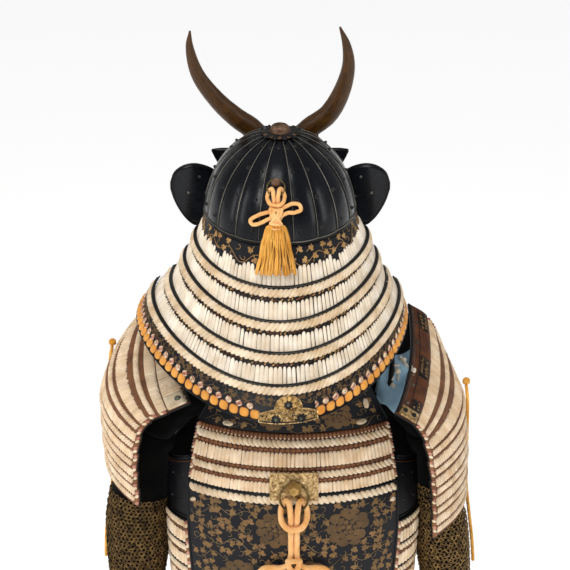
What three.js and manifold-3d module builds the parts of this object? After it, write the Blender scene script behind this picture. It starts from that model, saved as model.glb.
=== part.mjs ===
// Samurai armour, worn: helmet with horns and neck guard, laced cuirass with its skirt of
// flaps, shoulder guards and sleeves. Millimetres, +Z up, the front faces -Y, so +X is the
// wearer's left. The origin is where the cuirass straps rest on the wearer's shoulders.

import * as THREE from 'three';
import { mergeVertices } from 'three/addons/utils/BufferGeometryUtils.js';
import Module from 'manifold-3d';

const wasm = await Module();
wasm.setup();

// ---------------------------------------------------------------- driving dimensions

const SEAM = 0.4; // air between neighbouring pieces
const SIDES = [
  { side: 'left', sx: 1 },
  { side: 'right', sx: -1 },
];

// Helmet: its own frame has the origin at the centre of the bowl's rim.
const HELMET = { x: 20, y: 0, z: 229 };
const BOWL = { half_width: 114, half_length: 133, height: 125, wall: 3, tilt_deg: 5.2, top_hole: 12 };
const FINIAL = { base_radius: 27, dome_radius: 19.5, height: 15 };

// Neck guard: the top rim of each lame, then the bottom edge of the last one. It hangs a
// little askew: shift is how far the sides of a rim sit towards the wearer's left.
const NECK_END_DEG = 104; // how far each lame runs round from the back centre
const NECK_WALL = 3;
const NECK = [
  { half_width: 112.5, back_reach: 130.5, z_side: -1.6, z_back: -13.5, dip: 1, shift: 0 },
  { half_width: 133, back_reach: 150, z_side: -38, z_back: -70, dip: 1.6, shift: -2 },
  { half_width: 148.5, back_reach: 178, z_side: -72, z_back: -113, dip: 2, shift: -1 },
  { half_width: 167, back_reach: 205, z_side: -108, z_back: -152, dip: 2, shift: 2 },
  { half_width: 191, back_reach: 236, z_side: -131, z_back: -190, dip: 2, shift: 6 },
  { half_width: 209, back_reach: 272, z_side: -170, z_back: -236, dip: 2, shift: 13 },
];

// Openwork plate on the last lame, v from the lame's rim to its bottom edge.
const ORNAMENT = { middle_deg: -3.6, half_deg: 11.8, v_top: 0.58, v_bottom: 0.99, wall: 2.4 };

// Turned-back ear plates: height limits at each distance out from the root.
const EAR = { root_x: 104, root_y: -97, wall: 3, lean: -9 };
const EAR_OUTLINE = [
  { reach: 0, z_low: -24, z_high: 30 },
  { reach: 12, z_low: -48, z_high: 37 },
  { reach: 28, z_low: -57, z_high: 42 },
  { reach: 42, z_low: -47, z_high: 41 },
  { reach: 54, z_low: -30, z_high: 35 },
  { reach: 62, z_low: -13, z_high: 26 },
  { reach: 66.5, z_low: 2, z_high: 12 },
];

// Crescent crest in front: height limits at each distance from the middle.
const CREST = { y: -148, wall: 2 };
const CREST_OUTLINE = [
  { x: 0, z_low: 18, z_high: 32 },
  { x: 40, z_low: 16, z_high: 38 },
  { x: 74, z_low: 14, z_high: 49 },
  { x: 90, z_low: 19, z_high: 50 },
  { x: 99, z_low: 28, z_high: 49.5 },
  { x: 108, z_low: 46, z_high: 48 },
];
const VISOR = { half_angle_deg: 58, reach: 44, drop: 22, wall: 2.5 };

// Horns: centre line and thickness from root to tip. They are a natural, unequal pair.
const HORNS = {
  left: [
    { x: 33, y: -122, z: 79, thick: 34 },
    { x: 46.9, y: -110, z: 97, thick: 33 },
    { x: 68.5, y: -99, z: 116, thick: 31 },
    { x: 97.4, y: -90, z: 146.3, thick: 27 },
    { x: 126.3, y: -78, z: 191, thick: 21 },
    { x: 137.3, y: -66, z: 238, thick: 12 },
    { x: 136, y: -60, z: 262.7, thick: 3 },
  ],
  right: [
    { x: -33, y: -122, z: 79, thick: 34 },
    { x: -48.1, y: -110, z: 97, thick: 33 },
    { x: -74.3, y: -98, z: 121, thick: 31 },
    { x: -93.9, y: -88, z: 158.1, thick: 27 },
    { x: -104.5, y: -75, z: 204.4, thick: 20 },
    { x: -100.9, y: -66, z: 239.5, thick: 13 },
    { x: -90.6, y: -60, z: 268.9, thick: 3 },
  ],
};

// Cuirass: horizontal sections, ellipses about the Z axis.
const BODY = [
  { z: -20, half_width: 168, half_depth: 116 },
  { z: -90, half_width: 186, half_depth: 132 },
  { z: -170, half_width: 198, half_depth: 137 },
  { z: -270, half_width: 203, half_depth: 137 },
  { z: -388, half_width: 196, half_depth: 132 },
];
// Pieces of the back and of the front, top to bottom: the heights of their edges, the half
// angle round the body at each edge and how far the face stands out there.
const PANEL_ROWS = [
  { row: 'top', z: [-22, -88], half_deg: [43, 53], out: [0, 0], steps: 3 },
  { row: 'lame_1', z: [-88, -141], half_deg: [53, 53.5], out: [0.5, 4], steps: 3 },
  { row: 'lame_2', z: [-141, -185], half_deg: [53.5, 54], out: [1, 4], steps: 3 },
  { row: 'lower', z: [-185, -388], half_deg: [54, 54], out: [4, 0.5], steps: 5 },
];
const NECKLINE = { back: 10, front: 34 }; // how far the top edges dip in the middle
const PANEL_WALL = 3;
const SIDE_GAP_DEG = 0.8;
const SIDE_PLATE = { z_top: -150, scoop: 26, z_bottom: -262, inset: 1 };
const STRAP = { x: 90, width: 46, wall: 5, top_z: 6 };

// Skirt: seven flaps hung from the waist. They flare more at the front and back than at the sides.
const FLAPS = 7;
const FLAP = {
  z_top: -388, z_bottom: -640, inset: -0.5, flare: 16, front_flare: 1.3, wall: 4, gap_deg: 1.6, lames: 5,
  step: 2.5,
};

// Ring post and plate on the back, and the ring with its knotted cord.
const BACK_RING = { x: -1.4, y: 147.4, z: -172, post: 4, head: 13, radius: 22, wire: 1.5, lean_deg: 11 };
const BACK_PLATE = { half_width: 37, half_height: 23.5, wall: 2, y: 142.2 };
const BACK_CORD = 8;
// Half of the cord: over the ring, down as a strand, out as a side loop and down to its end.
// x is the distance from the ring's middle towards the half's own side.
const BACK_CORD_ROUTE = [
  [0.8, 160.5, -238], [5, 160.5, -237.8], [11, 160, -235.5], [18, 157, -227], [20.5, 151.5, -215],
  [18.6, 148.8, -203], [13, 149.1, -194], [8.5, 156, -192.5], [6.2, 162.5, -200], [5.2, 162.8, -210],
  [4.8, 158.5, -221],
  [4.7, 152.5, -231], [4.7, 147.5, -243], [4.7, 145.5, -262], [4.8, 145.3, -290], [8.5, 145.5, -305],
  [20, 145.5, -312], [36, 145.8, -311], [49, 146, -314], [55, 146, -323], [48, 146, -332],
  [34, 145.8, -334], [20, 145.5, -331], [10.5, 145.5, -335], [7.8, 145.8, -347], [9, 146.5, -365],
  [12.6, 151, -383], [13.8, 155.5, -402],
];
const BACK_TASSEL = { x: 13.8, y: 156.5, z_top: -403, z_bottom: -480, head: 8, skirt: 12.5 };
const BACK_KNOT = { y: 150.2, z_top: -291, z_bottom: -338, half_width: 13, wall: 7.5 };

// Ring post on the back of the helmet, and the bow and tassel on its ring (helmet frame).
const HELM_RING = { x: 5.6, y: 109.3, z: 79.5, post: 2.2, head: 6.5, radius: 13, wire: 0.9, lean_deg: 34 };
const HELM_CORD = 4.8;
const HELM_HITCH = [
  [0.6, 134.2, 50], [3.5, 134.1, 50.3], [7, 133.4, 51.6], [11, 129.4, 55], [12.6, 122.3, 60],
  [10.6, 116.4, 66.5], [6.8, 118.2, 71.2], [4.6, 123.8, 70.4], [3.5, 128.4, 64.5], [3, 129.4, 58],
  [2.9, 128.4, 51.5], [2.9, 129.8, 45],
];
const HELM_LOOPS = {
  left: [
    [8, 132.3, 40.5], [18, 133.3, 38.5], [29, 134.8, 34.5], [37.5, 136.3, 28.5], [34, 137.3, 22.5],
    [23, 137.3, 24.5], [12, 136.8, 30], [5.5, 136.8, 30.5], [3.4, 137.4, 24.5],
  ],
  right: [
    [6.5, 130.8, 44], [15, 130.8, 48.5], [26, 130.4, 52.5], [35, 131.4, 50], [36, 132.8, 43.5],
    [28, 134.1, 40], [16, 135, 39.2], [7, 136.4, 33.5], [3.4, 137.4, 24.5],
  ],
};
const HELM_KNOT = { y_top: 135, y_bottom: 142.2, z_top: 46, z_bottom: 26, half_width: 7, wall: 4.5 };
const HELM_TASSEL = { y: 139.8, z: 22.5, length: 74, head: 7, skirt: 31, flat: 0.3, lean_deg: 15 };

// Shoulder guards. The rear edge is a profile of distance out and height. At the front edge
// the guard is rise higher and yaw further out, and between them it bulges out by bulge.
const SODE = {
  half_chord: 141, y_middle: -1, wall: 4, step: 3, lames: 6, crown: 38,
  left: [
    { x: 155, z: -33, rise: 70, yaw: 24, bulge: 13 },
    { x: 194, z: -52, rise: 78, yaw: 20, bulge: 20 },
    { x: 222, z: -70, rise: 84, yaw: 14, bulge: 44 },
    { x: 233, z: -97, rise: 84, yaw: 10, bulge: 60 },
    { x: 238, z: -145, rise: 74, yaw: 4, bulge: 60 },
    { x: 235, z: -209, rise: 60, yaw: 0, bulge: 60 },
  ],
  right: [
    { x: 154, z: -50, rise: 67, yaw: 34, bulge: 13 },
    { x: 188, z: -75, rise: 67, yaw: 33, bulge: 15 },
    { x: 203, z: -112, rise: 52, yaw: 34, bulge: 44 },
    { x: 211, z: -165, rise: 36, yaw: 14, bulge: 57 },
    { x: 214, z: -215, rise: 30, yaw: 4, bulge: 60 },
    { x: 215, z: -263, rise: 28, yaw: 0, bulge: 60 },
  ],
};
const SODE_CORD = 5;
const SODE_CORDS = {
  left: {
    knot: [289, -70, -21],
    route: [[289.3, -70, -27.6], [293, -70, -45], [294.5, -70, -90], [294, -68, -135], [291.5, -62, -185],
      [292, -50, -235], [298, -35, -285], [304, -22, -330], [306, -18, -378]],
  },
  right: {
    knot: [277.5, -40, -76],
    route: [[277.7, -40, -82.6], [280.5, -40, -108], [281.5, -40, -150], [281.5, -38, -200],
      [282, -34, -250], [287.5, -26, -300], [293, -18, -345], [296, -12, -384]],
  },
};

// Sleeves: centre line and half sizes across and along the wearer's stride.
const SLEEVE_WALL = 2.5;
const SLEEVE_SPLIT = 3; // the row where the shoulder cloth ends and the mail begins
const SLEEVES = {
  left: [
    { x: 122, z: -58, y: 0, across: 46, along: 52 },
    { x: 160, z: -67, y: 0, across: 44, along: 53 },
    { x: 195, z: -93, y: 0, across: 41, along: 53 },
    { x: 222, z: -130, y: 0, across: 38, along: 52 },
    { x: 241, z: -175, y: 0, across: 39, along: 52 },
    { x: 247, z: -225, y: 0, across: 41, along: 51 },
    { x: 254.5, z: -295, y: -2, across: 47, along: 51 },
    { x: 255, z: -390, y: -6, across: 45, along: 48 },
    { x: 254, z: -480, y: -16, across: 40, along: 42 },
    { x: 253, z: -560, y: -28, across: 34, along: 36 },
  ],
  right: [
    { x: 122, z: -58, y: 0, across: 46, along: 52 },
    { x: 160, z: -67, y: 0, across: 44, along: 53 },
    { x: 192, z: -93, y: 0, across: 39, along: 53 },
    { x: 215, z: -127, y: 0, across: 36, along: 52 },
    { x: 235, z: -175, y: 0, across: 34, along: 51 },
    { x: 236, z: -245, y: 0, across: 30, along: 49 },
    { x: 244.5, z: -305, y: -2, across: 37, along: 47 },
    { x: 250, z: -390, y: -6, across: 39, along: 46 },
    { x: 251, z: -480, y: -16, across: 38, along: 42 },
    { x: 250, z: -560, y: -28, across: 34, along: 36 },
  ],
};

// ---------------------------------------------------------------- helpers

const rad = THREE.MathUtils.degToRad;
const lerp = THREE.MathUtils.lerp;
const armour = new THREE.Group();
const helmet = new THREE.Group();
helmet.position.set(HELMET.x, HELMET.y, HELMET.z);
armour.add(helmet);

const FINISH = {
  black_lacquer: { color: 0x14171b, roughness: 0.3, metalness: 0.2 },
  white_lacing: { color: 0xe9dcc6, roughness: 0.85, metalness: 0 },
  printed_leather: { color: 0x241d1a, roughness: 0.55, metalness: 0 },
  horn: { color: 0x5f3f1d, roughness: 0.5, metalness: 0 },
  gilt: { color: 0xb98d45, roughness: 0.35, metalness: 0.9 },
  bronze: { color: 0x6e4a34, roughness: 0.45, metalness: 0.8 },
  amber_cord: { color: 0xf3b673, roughness: 0.8, metalness: 0 },
  mail: { color: 0x3a2f20, roughness: 0.6, metalness: 0.4 },
  blue_cloth: { color: 0x8fb0c4, roughness: 0.9, metalness: 0 },
};

function addPiece(parent, name, geometry, finish) {
  const piece = new THREE.Mesh(geometry, new THREE.MeshStandardMaterial(FINISH[finish]));
  piece.name = name;
  parent.add(piece);
  return piece;
}

function range(count, from = 0, to = 1) {
  return Array.from({ length: count }, (_, i) => lerp(from, to, i / (count - 1)));
}

// Value of one named column of a table at a place along another, by a smooth curve.
function column(rows, key, along, at) {
  const last = rows.length - 1;
  let i = 0;
  const rising = rows[last][along] > rows[0][along];
  while (i < last - 1 && (rising ? at > rows[i + 1][along] : at < rows[i + 1][along])) i += 1;
  const [a, b] = [rows[i], rows[i + 1]];
  const before = rows[Math.max(i - 1, 0)];
  const after = rows[Math.min(i + 2, last)];
  const t = THREE.MathUtils.clamp((at - a[along]) / (b[along] - a[along]), 0, 1);
  const slope = (p, q) => (q[key] - p[key]) / (q[along] - p[along] || 1);
  const span = b[along] - a[along];
  const m0 = slope(before, b) * span;
  const m1 = slope(a, after) * span;
  const t2 = t * t;
  const t3 = t2 * t;
  const curve = (2 * t3 - 3 * t2 + 1) * a[key] + (3 * t2 - 2 * t3) * b[key];
  return curve + (t3 - 2 * t2 + t) * m0 + (t3 - t2) * m1;
}

// Closed wall between an outer and an inner face. face(u, v, outer) returns a point.
function wall(face, us, vs, ringed = false) {
  const points = [];
  for (const outer of [true, false]) {
    for (const u of us) for (const v of vs) points.push(...face(u, v, outer));
  }
  const [nu, nv] = [us.length, vs.length];
  const at = (outer, i, j) => (outer ? 0 : nu * nv) + (i % nu) * nv + j;
  const index = [];
  const quad = (a, b, c, d) => index.push(a, b, c, a, c, d);
  const columns = ringed ? nu : nu - 1;
  for (let i = 0; i < columns; i += 1) {
    for (let j = 0; j < nv - 1; j += 1) {
      quad(at(true, i, j), at(true, i + 1, j), at(true, i + 1, j + 1), at(true, i, j + 1));
      quad(at(false, i, j), at(false, i, j + 1), at(false, i + 1, j + 1), at(false, i + 1, j));
    }
    quad(at(true, i, 0), at(false, i, 0), at(false, i + 1, 0), at(true, i + 1, 0));
    quad(at(true, i, nv - 1), at(true, i + 1, nv - 1), at(false, i + 1, nv - 1), at(false, i, nv - 1));
  }
  if (!ringed) {
    for (let j = 0; j < nv - 1; j += 1) {
      quad(at(true, 0, j), at(true, 0, j + 1), at(false, 0, j + 1), at(false, 0, j));
      quad(at(true, nu - 1, j), at(false, nu - 1, j), at(false, nu - 1, j + 1), at(true, nu - 1, j + 1));
    }
  }
  const geometry = new THREE.BufferGeometry();
  geometry.setAttribute('position', new THREE.Float32BufferAttribute(points, 3));
  geometry.setIndex(signedVolume(points, index) > 0 ? index : index.reverse());
  geometry.computeVertexNormals();
  return geometry;
}

function signedVolume(points, index) {
  let total = 0;
  const corner = (i) => new THREE.Vector3(points[3 * i], points[3 * i + 1], points[3 * i + 2]);
  for (let i = 0; i < index.length; i += 3) {
    const [a, b, c] = [corner(index[i]), corner(index[i + 1]), corner(index[i + 2])];
    total += a.dot(b.cross(c)) / 6;
  }
  return total;
}

// One solid out of several that run into each other.
function join(geometries) {
  const solids = geometries.map((source) => {
    const bare = source.clone();
    bare.deleteAttribute('normal');
    bare.deleteAttribute('uv');
    const merged = mergeVertices(bare, 1e-4);
    const index = Uint32Array.from(merged.index.array);
    const vertProperties = Float32Array.from(merged.attributes.position.array);
    return new wasm.Manifold(new wasm.Mesh({ numProp: 3, vertProperties, triVerts: index }));
  });
  const whole = solids.reduce((sum, solid) => sum.add(solid)).getMesh();
  const geometry = new THREE.BufferGeometry();
  geometry.setAttribute('position', new THREE.BufferAttribute(new Float32Array(whole.vertProperties), 3));
  geometry.setIndex(new THREE.BufferAttribute(new Uint32Array(whole.triVerts), 1));
  geometry.computeVertexNormals();
  return geometry;
}

// Round cord along a smooth curve through the route's points.
function cordAlong(route, diameter, steps, sides = 8) {
  const section = new THREE.Shape();
  for (let i = 0; i < sides; i += 1) {
    const turn = (2 * Math.PI * i) / sides;
    const [x, y] = [(diameter / 2) * Math.cos(turn), (diameter / 2) * Math.sin(turn)];
    if (i === 0) section.moveTo(x, y);
    else section.lineTo(x, y);
  }
  section.closePath();
  const path = new THREE.CatmullRomCurve3(route.map((p) => new THREE.Vector3(...p)), false, 'centripetal');
  return new THREE.ExtrudeGeometry(section, { steps, extrudePath: path, bevelEnabled: false });
}

// Turned form about Z from [radius, height] pairs that start and end on the axis.
function turned(profile, segments) {
  const geometry = new THREE.LatheGeometry(profile.map(([r, h]) => new THREE.Vector2(r, h)), segments);
  geometry.rotateX(Math.PI / 2);
  return geometry;
}

// ---------------------------------------------------------------- helmet

function bowl() {
  const topAngle = Math.acos(BOWL.top_hole / BOWL.half_width);
  const face = (turn, lift, outer) => {
    const inset = outer ? 0 : BOWL.wall;
    const flat = Math.cos(lift);
    return [
      (BOWL.half_width - inset) * flat * Math.sin(turn),
      (BOWL.half_length - inset) * flat * Math.cos(turn),
      (BOWL.height - inset) * Math.sin(lift),
    ];
  };
  const turns = range(33, 0, 2 * Math.PI).slice(0, -1);
  const shell = wall(face, turns, range(8, 0, topAngle), true);
  const piece = addPiece(helmet, 'helmet_bowl', shell, 'black_lacquer');
  piece.rotation.x = -rad(BOWL.tilt_deg);
}

function finial() {
  const { base_radius: base, dome_radius: dome, height } = FINIAL;
  const rim = 3.5;
  const profile = [[0, 0.5], [base - 6, 0.5], [base, 0], [base - 1, rim], [dome, rim + 0.5]];
  for (const lift of range(5, 0.2, 1).slice(0, -1)) {
    const turn = (lift * Math.PI) / 2;
    profile.push([dome * Math.cos(turn), rim + (height - rim) * Math.sin(turn)]);
  }
  profile.push([0, height]);
  const piece = addPiece(helmet, 'helmet_finial', turned(profile, 16), 'bronze');
  const seat = 0.985 * BOWL.height * Math.sqrt(1 - ((FINIAL.base_radius - 6) / BOWL.half_width) ** 2);
  const tilt = rad(BOWL.tilt_deg);
  const lift = seat + 3.3;
  piece.position.set(0, lift * Math.sin(tilt), lift * Math.cos(tilt));
  piece.rotation.x = -tilt;
}

function horn(side) {
  const rows = HORNS[side];
  const centres = rows.map((row) => new THREE.Vector3(row.x, row.y, row.z));
  const path = new THREE.CatmullRomCurve3(centres, false, 'centripetal');
  const steps = 12;
  const corners = 10;
  const frames = path.computeFrenetFrames(steps, false);
  const points = [];
  for (let i = 0; i <= steps; i += 1) {
    const t = i / steps;
    const centre = path.getPointAt(t);
    const rank = path.getUtoTmapping(t) * (rows.length - 1);
    const low = Math.min(Math.floor(rank), rows.length - 2);
    const radius = lerp(rows[low].thick, rows[low + 1].thick, rank - low) / 2;
    for (let k = 0; k < corners; k += 1) {
      const turn = (2 * Math.PI * k) / corners;
      const p = centre.clone()
        .addScaledVector(frames.normals[i], radius * Math.cos(turn))
        .addScaledVector(frames.binormals[i], radius * Math.sin(turn));
      points.push(p.x, p.y, p.z);
    }
  }
  const index = [];
  for (let i = 0; i < steps; i += 1) {
    for (let k = 0; k < corners; k += 1) {
      const [a, b] = [i * corners + k, i * corners + ((k + 1) % corners)];
      index.push(a, b, b + corners, a, b + corners, a + corners);
    }
  }
  for (let k = 1; k < corners - 1; k += 1) {
    index.push(0, k + 1, k);
    index.push(steps * corners, steps * corners + k, steps * corners + k + 1);
  }
  const geometry = new THREE.BufferGeometry();
  geometry.setAttribute('position', new THREE.Float32BufferAttribute(points, 3));
  geometry.setIndex(signedVolume(points, index) > 0 ? index : index.reverse());
  addPiece(helmet, `helmet_horn_${side}`, geometry, 'horn');
}

// Point of the neck guard's rim number row, turn radians round from the back centre.
function neckRim(row, turn) {
  const { half_width: a, back_reach: b, z_side: zs, z_back: zb, dip, shift } = NECK[row];
  const back = Math.cos(turn);
  const side = Math.sin(turn);
  const lowering = back > 0 ? back ** dip : dip === 1 ? back : 0;
  return [a * side + shift * side * side, b * back, lerp(zs, zb, lowering)];
}

// Point of lame number row, v = 0 at its top rim and 1 at its bottom, moved out by out.
function neckFace(row, turn, v, out) {
  const top = neckRim(row, turn);
  const bottom = neckRim(row + 1, turn);
  const tuck = row < NECK.length - 2 ? NECK_WALL + 0.8 : 0;
  const drop = row < NECK.length - 2 ? 4 : 0;
  const [s, c] = [Math.sin(turn), Math.cos(turn)];
  return [
    lerp(top[0], bottom[0] - tuck * s, v) + out * s,
    lerp(top[1], bottom[1] - tuck * c, v) + out * c,
    lerp(top[2], bottom[2] - drop, v),
  ];
}

function neckGuard() {
  const turns = range(31, -rad(NECK_END_DEG), rad(NECK_END_DEG));
  for (let row = 0; row < NECK.length - 1; row += 1) {
    const face = (turn, v, outer) => neckFace(row, turn, v, outer ? 0 : -NECK_WALL);
    const heights = row === NECK.length - 2 ? 3 : 2;
    const finish = row ? 'white_lacing' : 'printed_leather';
    addPiece(helmet, `neck_lame_${row + 1}`, wall(face, turns, range(heights)), finish);
  }
  const { middle_deg: middle, half_deg: half, v_top: top, v_bottom: bottom, wall: thick } = ORNAMENT;
  const plate = (turn, v, outer) => neckFace(NECK.length - 2, turn, v, outer ? thick : SEAM);
  const across = range(9, rad(middle - half), rad(middle + half));
  addPiece(helmet, 'neck_ornament', wall(plate, across, range(3, top, bottom)), 'gilt');
}

function ears() {
  const reach = EAR_OUTLINE.at(-1).reach;
  for (const { side, sx } of SIDES) {
    const face = (u, v, outer) => {
      const out = u * reach;
      const low = column(EAR_OUTLINE, 'z_low', 'reach', out);
      const high = column(EAR_OUTLINE, 'z_high', 'reach', out);
      const bow = EAR.lean * Math.sin(u * Math.PI * 0.7);
      return [sx * (EAR.root_x + out), EAR.root_y - bow + (outer ? 0 : -EAR.wall), lerp(low, high, v)];
    };
    addPiece(helmet, `helmet_ear_${side}`, wall(face, range(9), range(5)), 'black_lacquer');
  }
}

function crestAndVisor() {
  const tip = CREST_OUTLINE.at(-1).x;
  const crest = (u, v, outer) => {
    const x = u * tip;
    const low = column(CREST_OUTLINE, 'z_low', 'x', Math.abs(x));
    const high = column(CREST_OUTLINE, 'z_high', 'x', Math.abs(x));
    return [x, CREST.y - (outer ? CREST.wall : 0), lerp(low, high, v)];
  };
  addPiece(helmet, 'helmet_crest', wall(crest, range(17, -1, 1), range(2)), 'black_lacquer');

  const half = rad(VISOR.half_angle_deg);
  const rise = Math.tan(rad(BOWL.tilt_deg));
  const root = 1.2;
  const visor = (turn, v, outer) => {
    const fade = Math.cos((turn / half) * (Math.PI / 2) * 0.86);
    const out = root + v * VISOR.reach * fade;
    const y = -(BOWL.half_length + out) * Math.cos(turn);
    const z = BOWL.half_length * Math.cos(turn) * rise - 3 - VISOR.drop * v * v * fade;
    return [(BOWL.half_width + out) * Math.sin(turn), y, z - (outer ? 0 : VISOR.wall)];
  };
  addPiece(helmet, 'helmet_visor', wall(visor, range(15, -half, half), range(3)), 'black_lacquer');
}

// ---------------------------------------------------------------- hanging rings

// Post with a wide head, standing out along +Y from yBase. The head tapers to headTip.
function ringPost({ x, z, post, head }, yBase, yHead, headDepth, headTip, sides) {
  const shaft = new THREE.CylinderGeometry(post, post, yHead - yBase + 0.5, 16);
  const cap = new THREE.CylinderGeometry(headTip, head, headDepth, sides);
  return [
    shaft.translate(x, (yHead + yBase + 0.5) / 2, z),
    cap.translate(x, yHead + headDepth / 2, z),
  ];
}

// Ring of wire hung over its post; it leans out at the bottom.
function ringOnPost({ x, y, z, post, radius, wire, lean_deg: lean }) {
  const geometry = new THREE.TorusGeometry(radius, wire, 6, 22);
  geometry.rotateX(Math.PI);
  geometry.translate(0, -radius, 0);
  geometry.rotateX(Math.PI / 2 + rad(lean));
  geometry.translate(x, y, z + post + SEAM + wire);
  return geometry;
}

function tassel({ head, skirt }, length, flat, segments) {
  const geometry = turned([
    [0, 0], [skirt * 0.8, 0], [skirt, -0.02 * length + 3], [skirt * 0.93, length * 0.35],
    [skirt * 0.72, length * 0.7], [head * 1.25, length * 0.88], [head, length - 2], [0, length],
  ], segments);
  geometry.scale(1, flat, 1);
  geometry.translate(0, 0, -length);
  return geometry;
}

function helmetRing() {
  const { x, y } = HELM_RING;
  const post = ringPost(HELM_RING, y - 4.8, y + 4.2, 3, 4.5, 16);
  addPiece(helmet, 'helmet_ring_post', join(post), 'bronze');
  addPiece(helmet, 'helmet_ring', ringOnPost(HELM_RING), 'gilt');
  for (const { side, sx } of SIDES) {
    const route = [...HELM_HITCH, ...HELM_LOOPS[side]].map(([px, py, pz]) => [x + sx * px, py, pz]);
    addPiece(helmet, `bow_cord_${side}`, cordAlong(route, HELM_CORD, 36), 'amber_cord');
  }
  const knot = (u, v, outer) => [
    x + u * HELM_KNOT.half_width,
    lerp(HELM_KNOT.y_top, HELM_KNOT.y_bottom, v) + (outer ? HELM_KNOT.wall - 1.5 * u * u : 0),
    lerp(HELM_KNOT.z_top, HELM_KNOT.z_bottom, v),
  ];
  addPiece(helmet, 'bow_knot', wall(knot, range(5, -1, 1), range(4)), 'amber_cord');
  const { length, flat, lean_deg: lean } = HELM_TASSEL;
  const piece = addPiece(helmet, 'bow_tassel', tassel(HELM_TASSEL, length, flat, 16), 'amber_cord');
  piece.position.set(x, HELM_TASSEL.y, HELM_TASSEL.z - SEAM);
  piece.rotation.x = rad(lean);
}

function backRing() {
  const { x, y, z } = BACK_RING;
  const { half_width: halfWidth, half_height: halfHeight, wall: thick } = BACK_PLATE;
  const plate = new THREE.BoxGeometry(2 * halfWidth, thick, 2 * halfHeight);
  plate.translate(x, BACK_PLATE.y + thick / 2, z);
  const face = BACK_PLATE.y + thick;
  const post = ringPost(BACK_RING, face - 0.5, y + 4.2, 11, 7, 6);
  addPiece(armour, 'back_ring_plate', join([plate, ...post]), 'gilt');
  addPiece(armour, 'back_ring', ringOnPost(BACK_RING), 'gilt');
  for (const { side, sx } of SIDES) {
    const route = BACK_CORD_ROUTE.map(([px, py, pz]) => [x + sx * px, py, pz]);
    addPiece(armour, `back_cord_${side}`, cordAlong(route, BACK_CORD, 42), 'amber_cord');
    const { y: ty, z_top: top, z_bottom: bottom } = BACK_TASSEL;
    const form = tassel(BACK_TASSEL, top - bottom, 0.85, 10);
    const piece = addPiece(armour, `back_tassel_${side}`, form, 'amber_cord');
    piece.position.set(x + sx * BACK_TASSEL.x, ty, top - SEAM);
  }
  const knot = (u, v, outer) => [
    x + u * BACK_KNOT.half_width * (1 - 0.25 * (2 * v - 1) ** 2),
    BACK_KNOT.y + (outer ? BACK_KNOT.wall - 2.5 * u * u : 0),
    lerp(BACK_KNOT.z_top, BACK_KNOT.z_bottom, v),
  ];
  addPiece(armour, 'back_knot', wall(knot, range(7, -1, 1), range(6)), 'amber_cord');
}

// ---------------------------------------------------------------- cuirass

// Point of the cuirass, turn radians round from the back centre, moved out by out.
function bodyFace(turn, z, out) {
  const a = column(BODY, 'half_width', 'z', z) + out;
  const b = column(BODY, 'half_depth', 'z', z) + out;
  return [a * Math.sin(turn), b * Math.cos(turn), z];
}

function panels() {
  for (const { panel, centre } of [{ panel: 'back', centre: 0 }, { panel: 'front', centre: Math.PI }]) {
    for (const row of PANEL_ROWS) {
      const face = (u, v, outer) => {
        const half = rad(lerp(...row.half_deg, v) - SIDE_GAP_DEG / 2);
        const dip = row.row === 'top' ? NECKLINE[panel] * (1 - u * u) * (1 - v) : 0;
        const z = lerp(row.z[0], row.z[1] + SEAM, v) - dip;
        const out = lerp(...row.out, v) - (outer ? 0 : PANEL_WALL);
        return bodyFace(centre + u * half, z, out);
      };
      const finish = row.row.startsWith('lame') ? 'white_lacing' : 'printed_leather';
      addPiece(armour, `${panel}_${row.row}`, wall(face, range(15, -1, 1), range(row.steps)), finish);
    }
  }
}

function sides() {
  for (const { side, sx } of SIDES) {
    const from = rad(PANEL_ROWS.at(-1).half_deg[1] + SIDE_GAP_DEG / 2);
    const to = Math.PI - from;
    const plate = (turn, v, outer) => {
      const middle = Math.sin(((turn - from) / (to - from)) * Math.PI);
      const top = SIDE_PLATE.z_top - SIDE_PLATE.scoop * middle;
      const z = lerp(top, SIDE_PLATE.z_bottom + SEAM, v);
      return bodyFace(sx * turn, z, (outer ? 0 : -PANEL_WALL) - SIDE_PLATE.inset);
    };
    const span = range(11, from, to);
    addPiece(armour, `side_plate_${side}`, wall(plate, span, range(3)), 'black_lacquer');
    const lames = (turn, v, outer) => {
      const z = lerp(SIDE_PLATE.z_bottom, FLAP.z_top, v);
      return bodyFace(sx * turn, z, outer ? 1 : -PANEL_WALL);
    };
    addPiece(armour, `side_lames_${side}`, wall(lames, span, range(4)), 'white_lacing');
  }
}

function straps() {
  const half = STRAP.width / 2;
  for (const { side, sx } of SIDES) {
    const path = new THREE.CatmullRomCurve3([
      new THREE.Vector3(0, 95, -19.5),
      new THREE.Vector3(0, 84, -3),
      new THREE.Vector3(0, 45, STRAP.top_z + 4),
      new THREE.Vector3(0, 0, STRAP.top_z),
      new THREE.Vector3(0, -50, STRAP.top_z - 4),
      new THREE.Vector3(0, -84, -12),
      new THREE.Vector3(0, -96, -30),
    ]);
    const face = (u, v, outer) => {
      const p = path.getPoint(v);
      const along = path.getTangent(v);
      const lift = outer ? STRAP.wall : 0;
      return [sx * (STRAP.x + u * half), p.y + along.z * lift, p.z - along.y * lift];
    };
    addPiece(armour, `shoulder_strap_${side}`, wall(face, range(3, -1, 1), range(12)), 'black_lacquer');
  }
}

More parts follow.
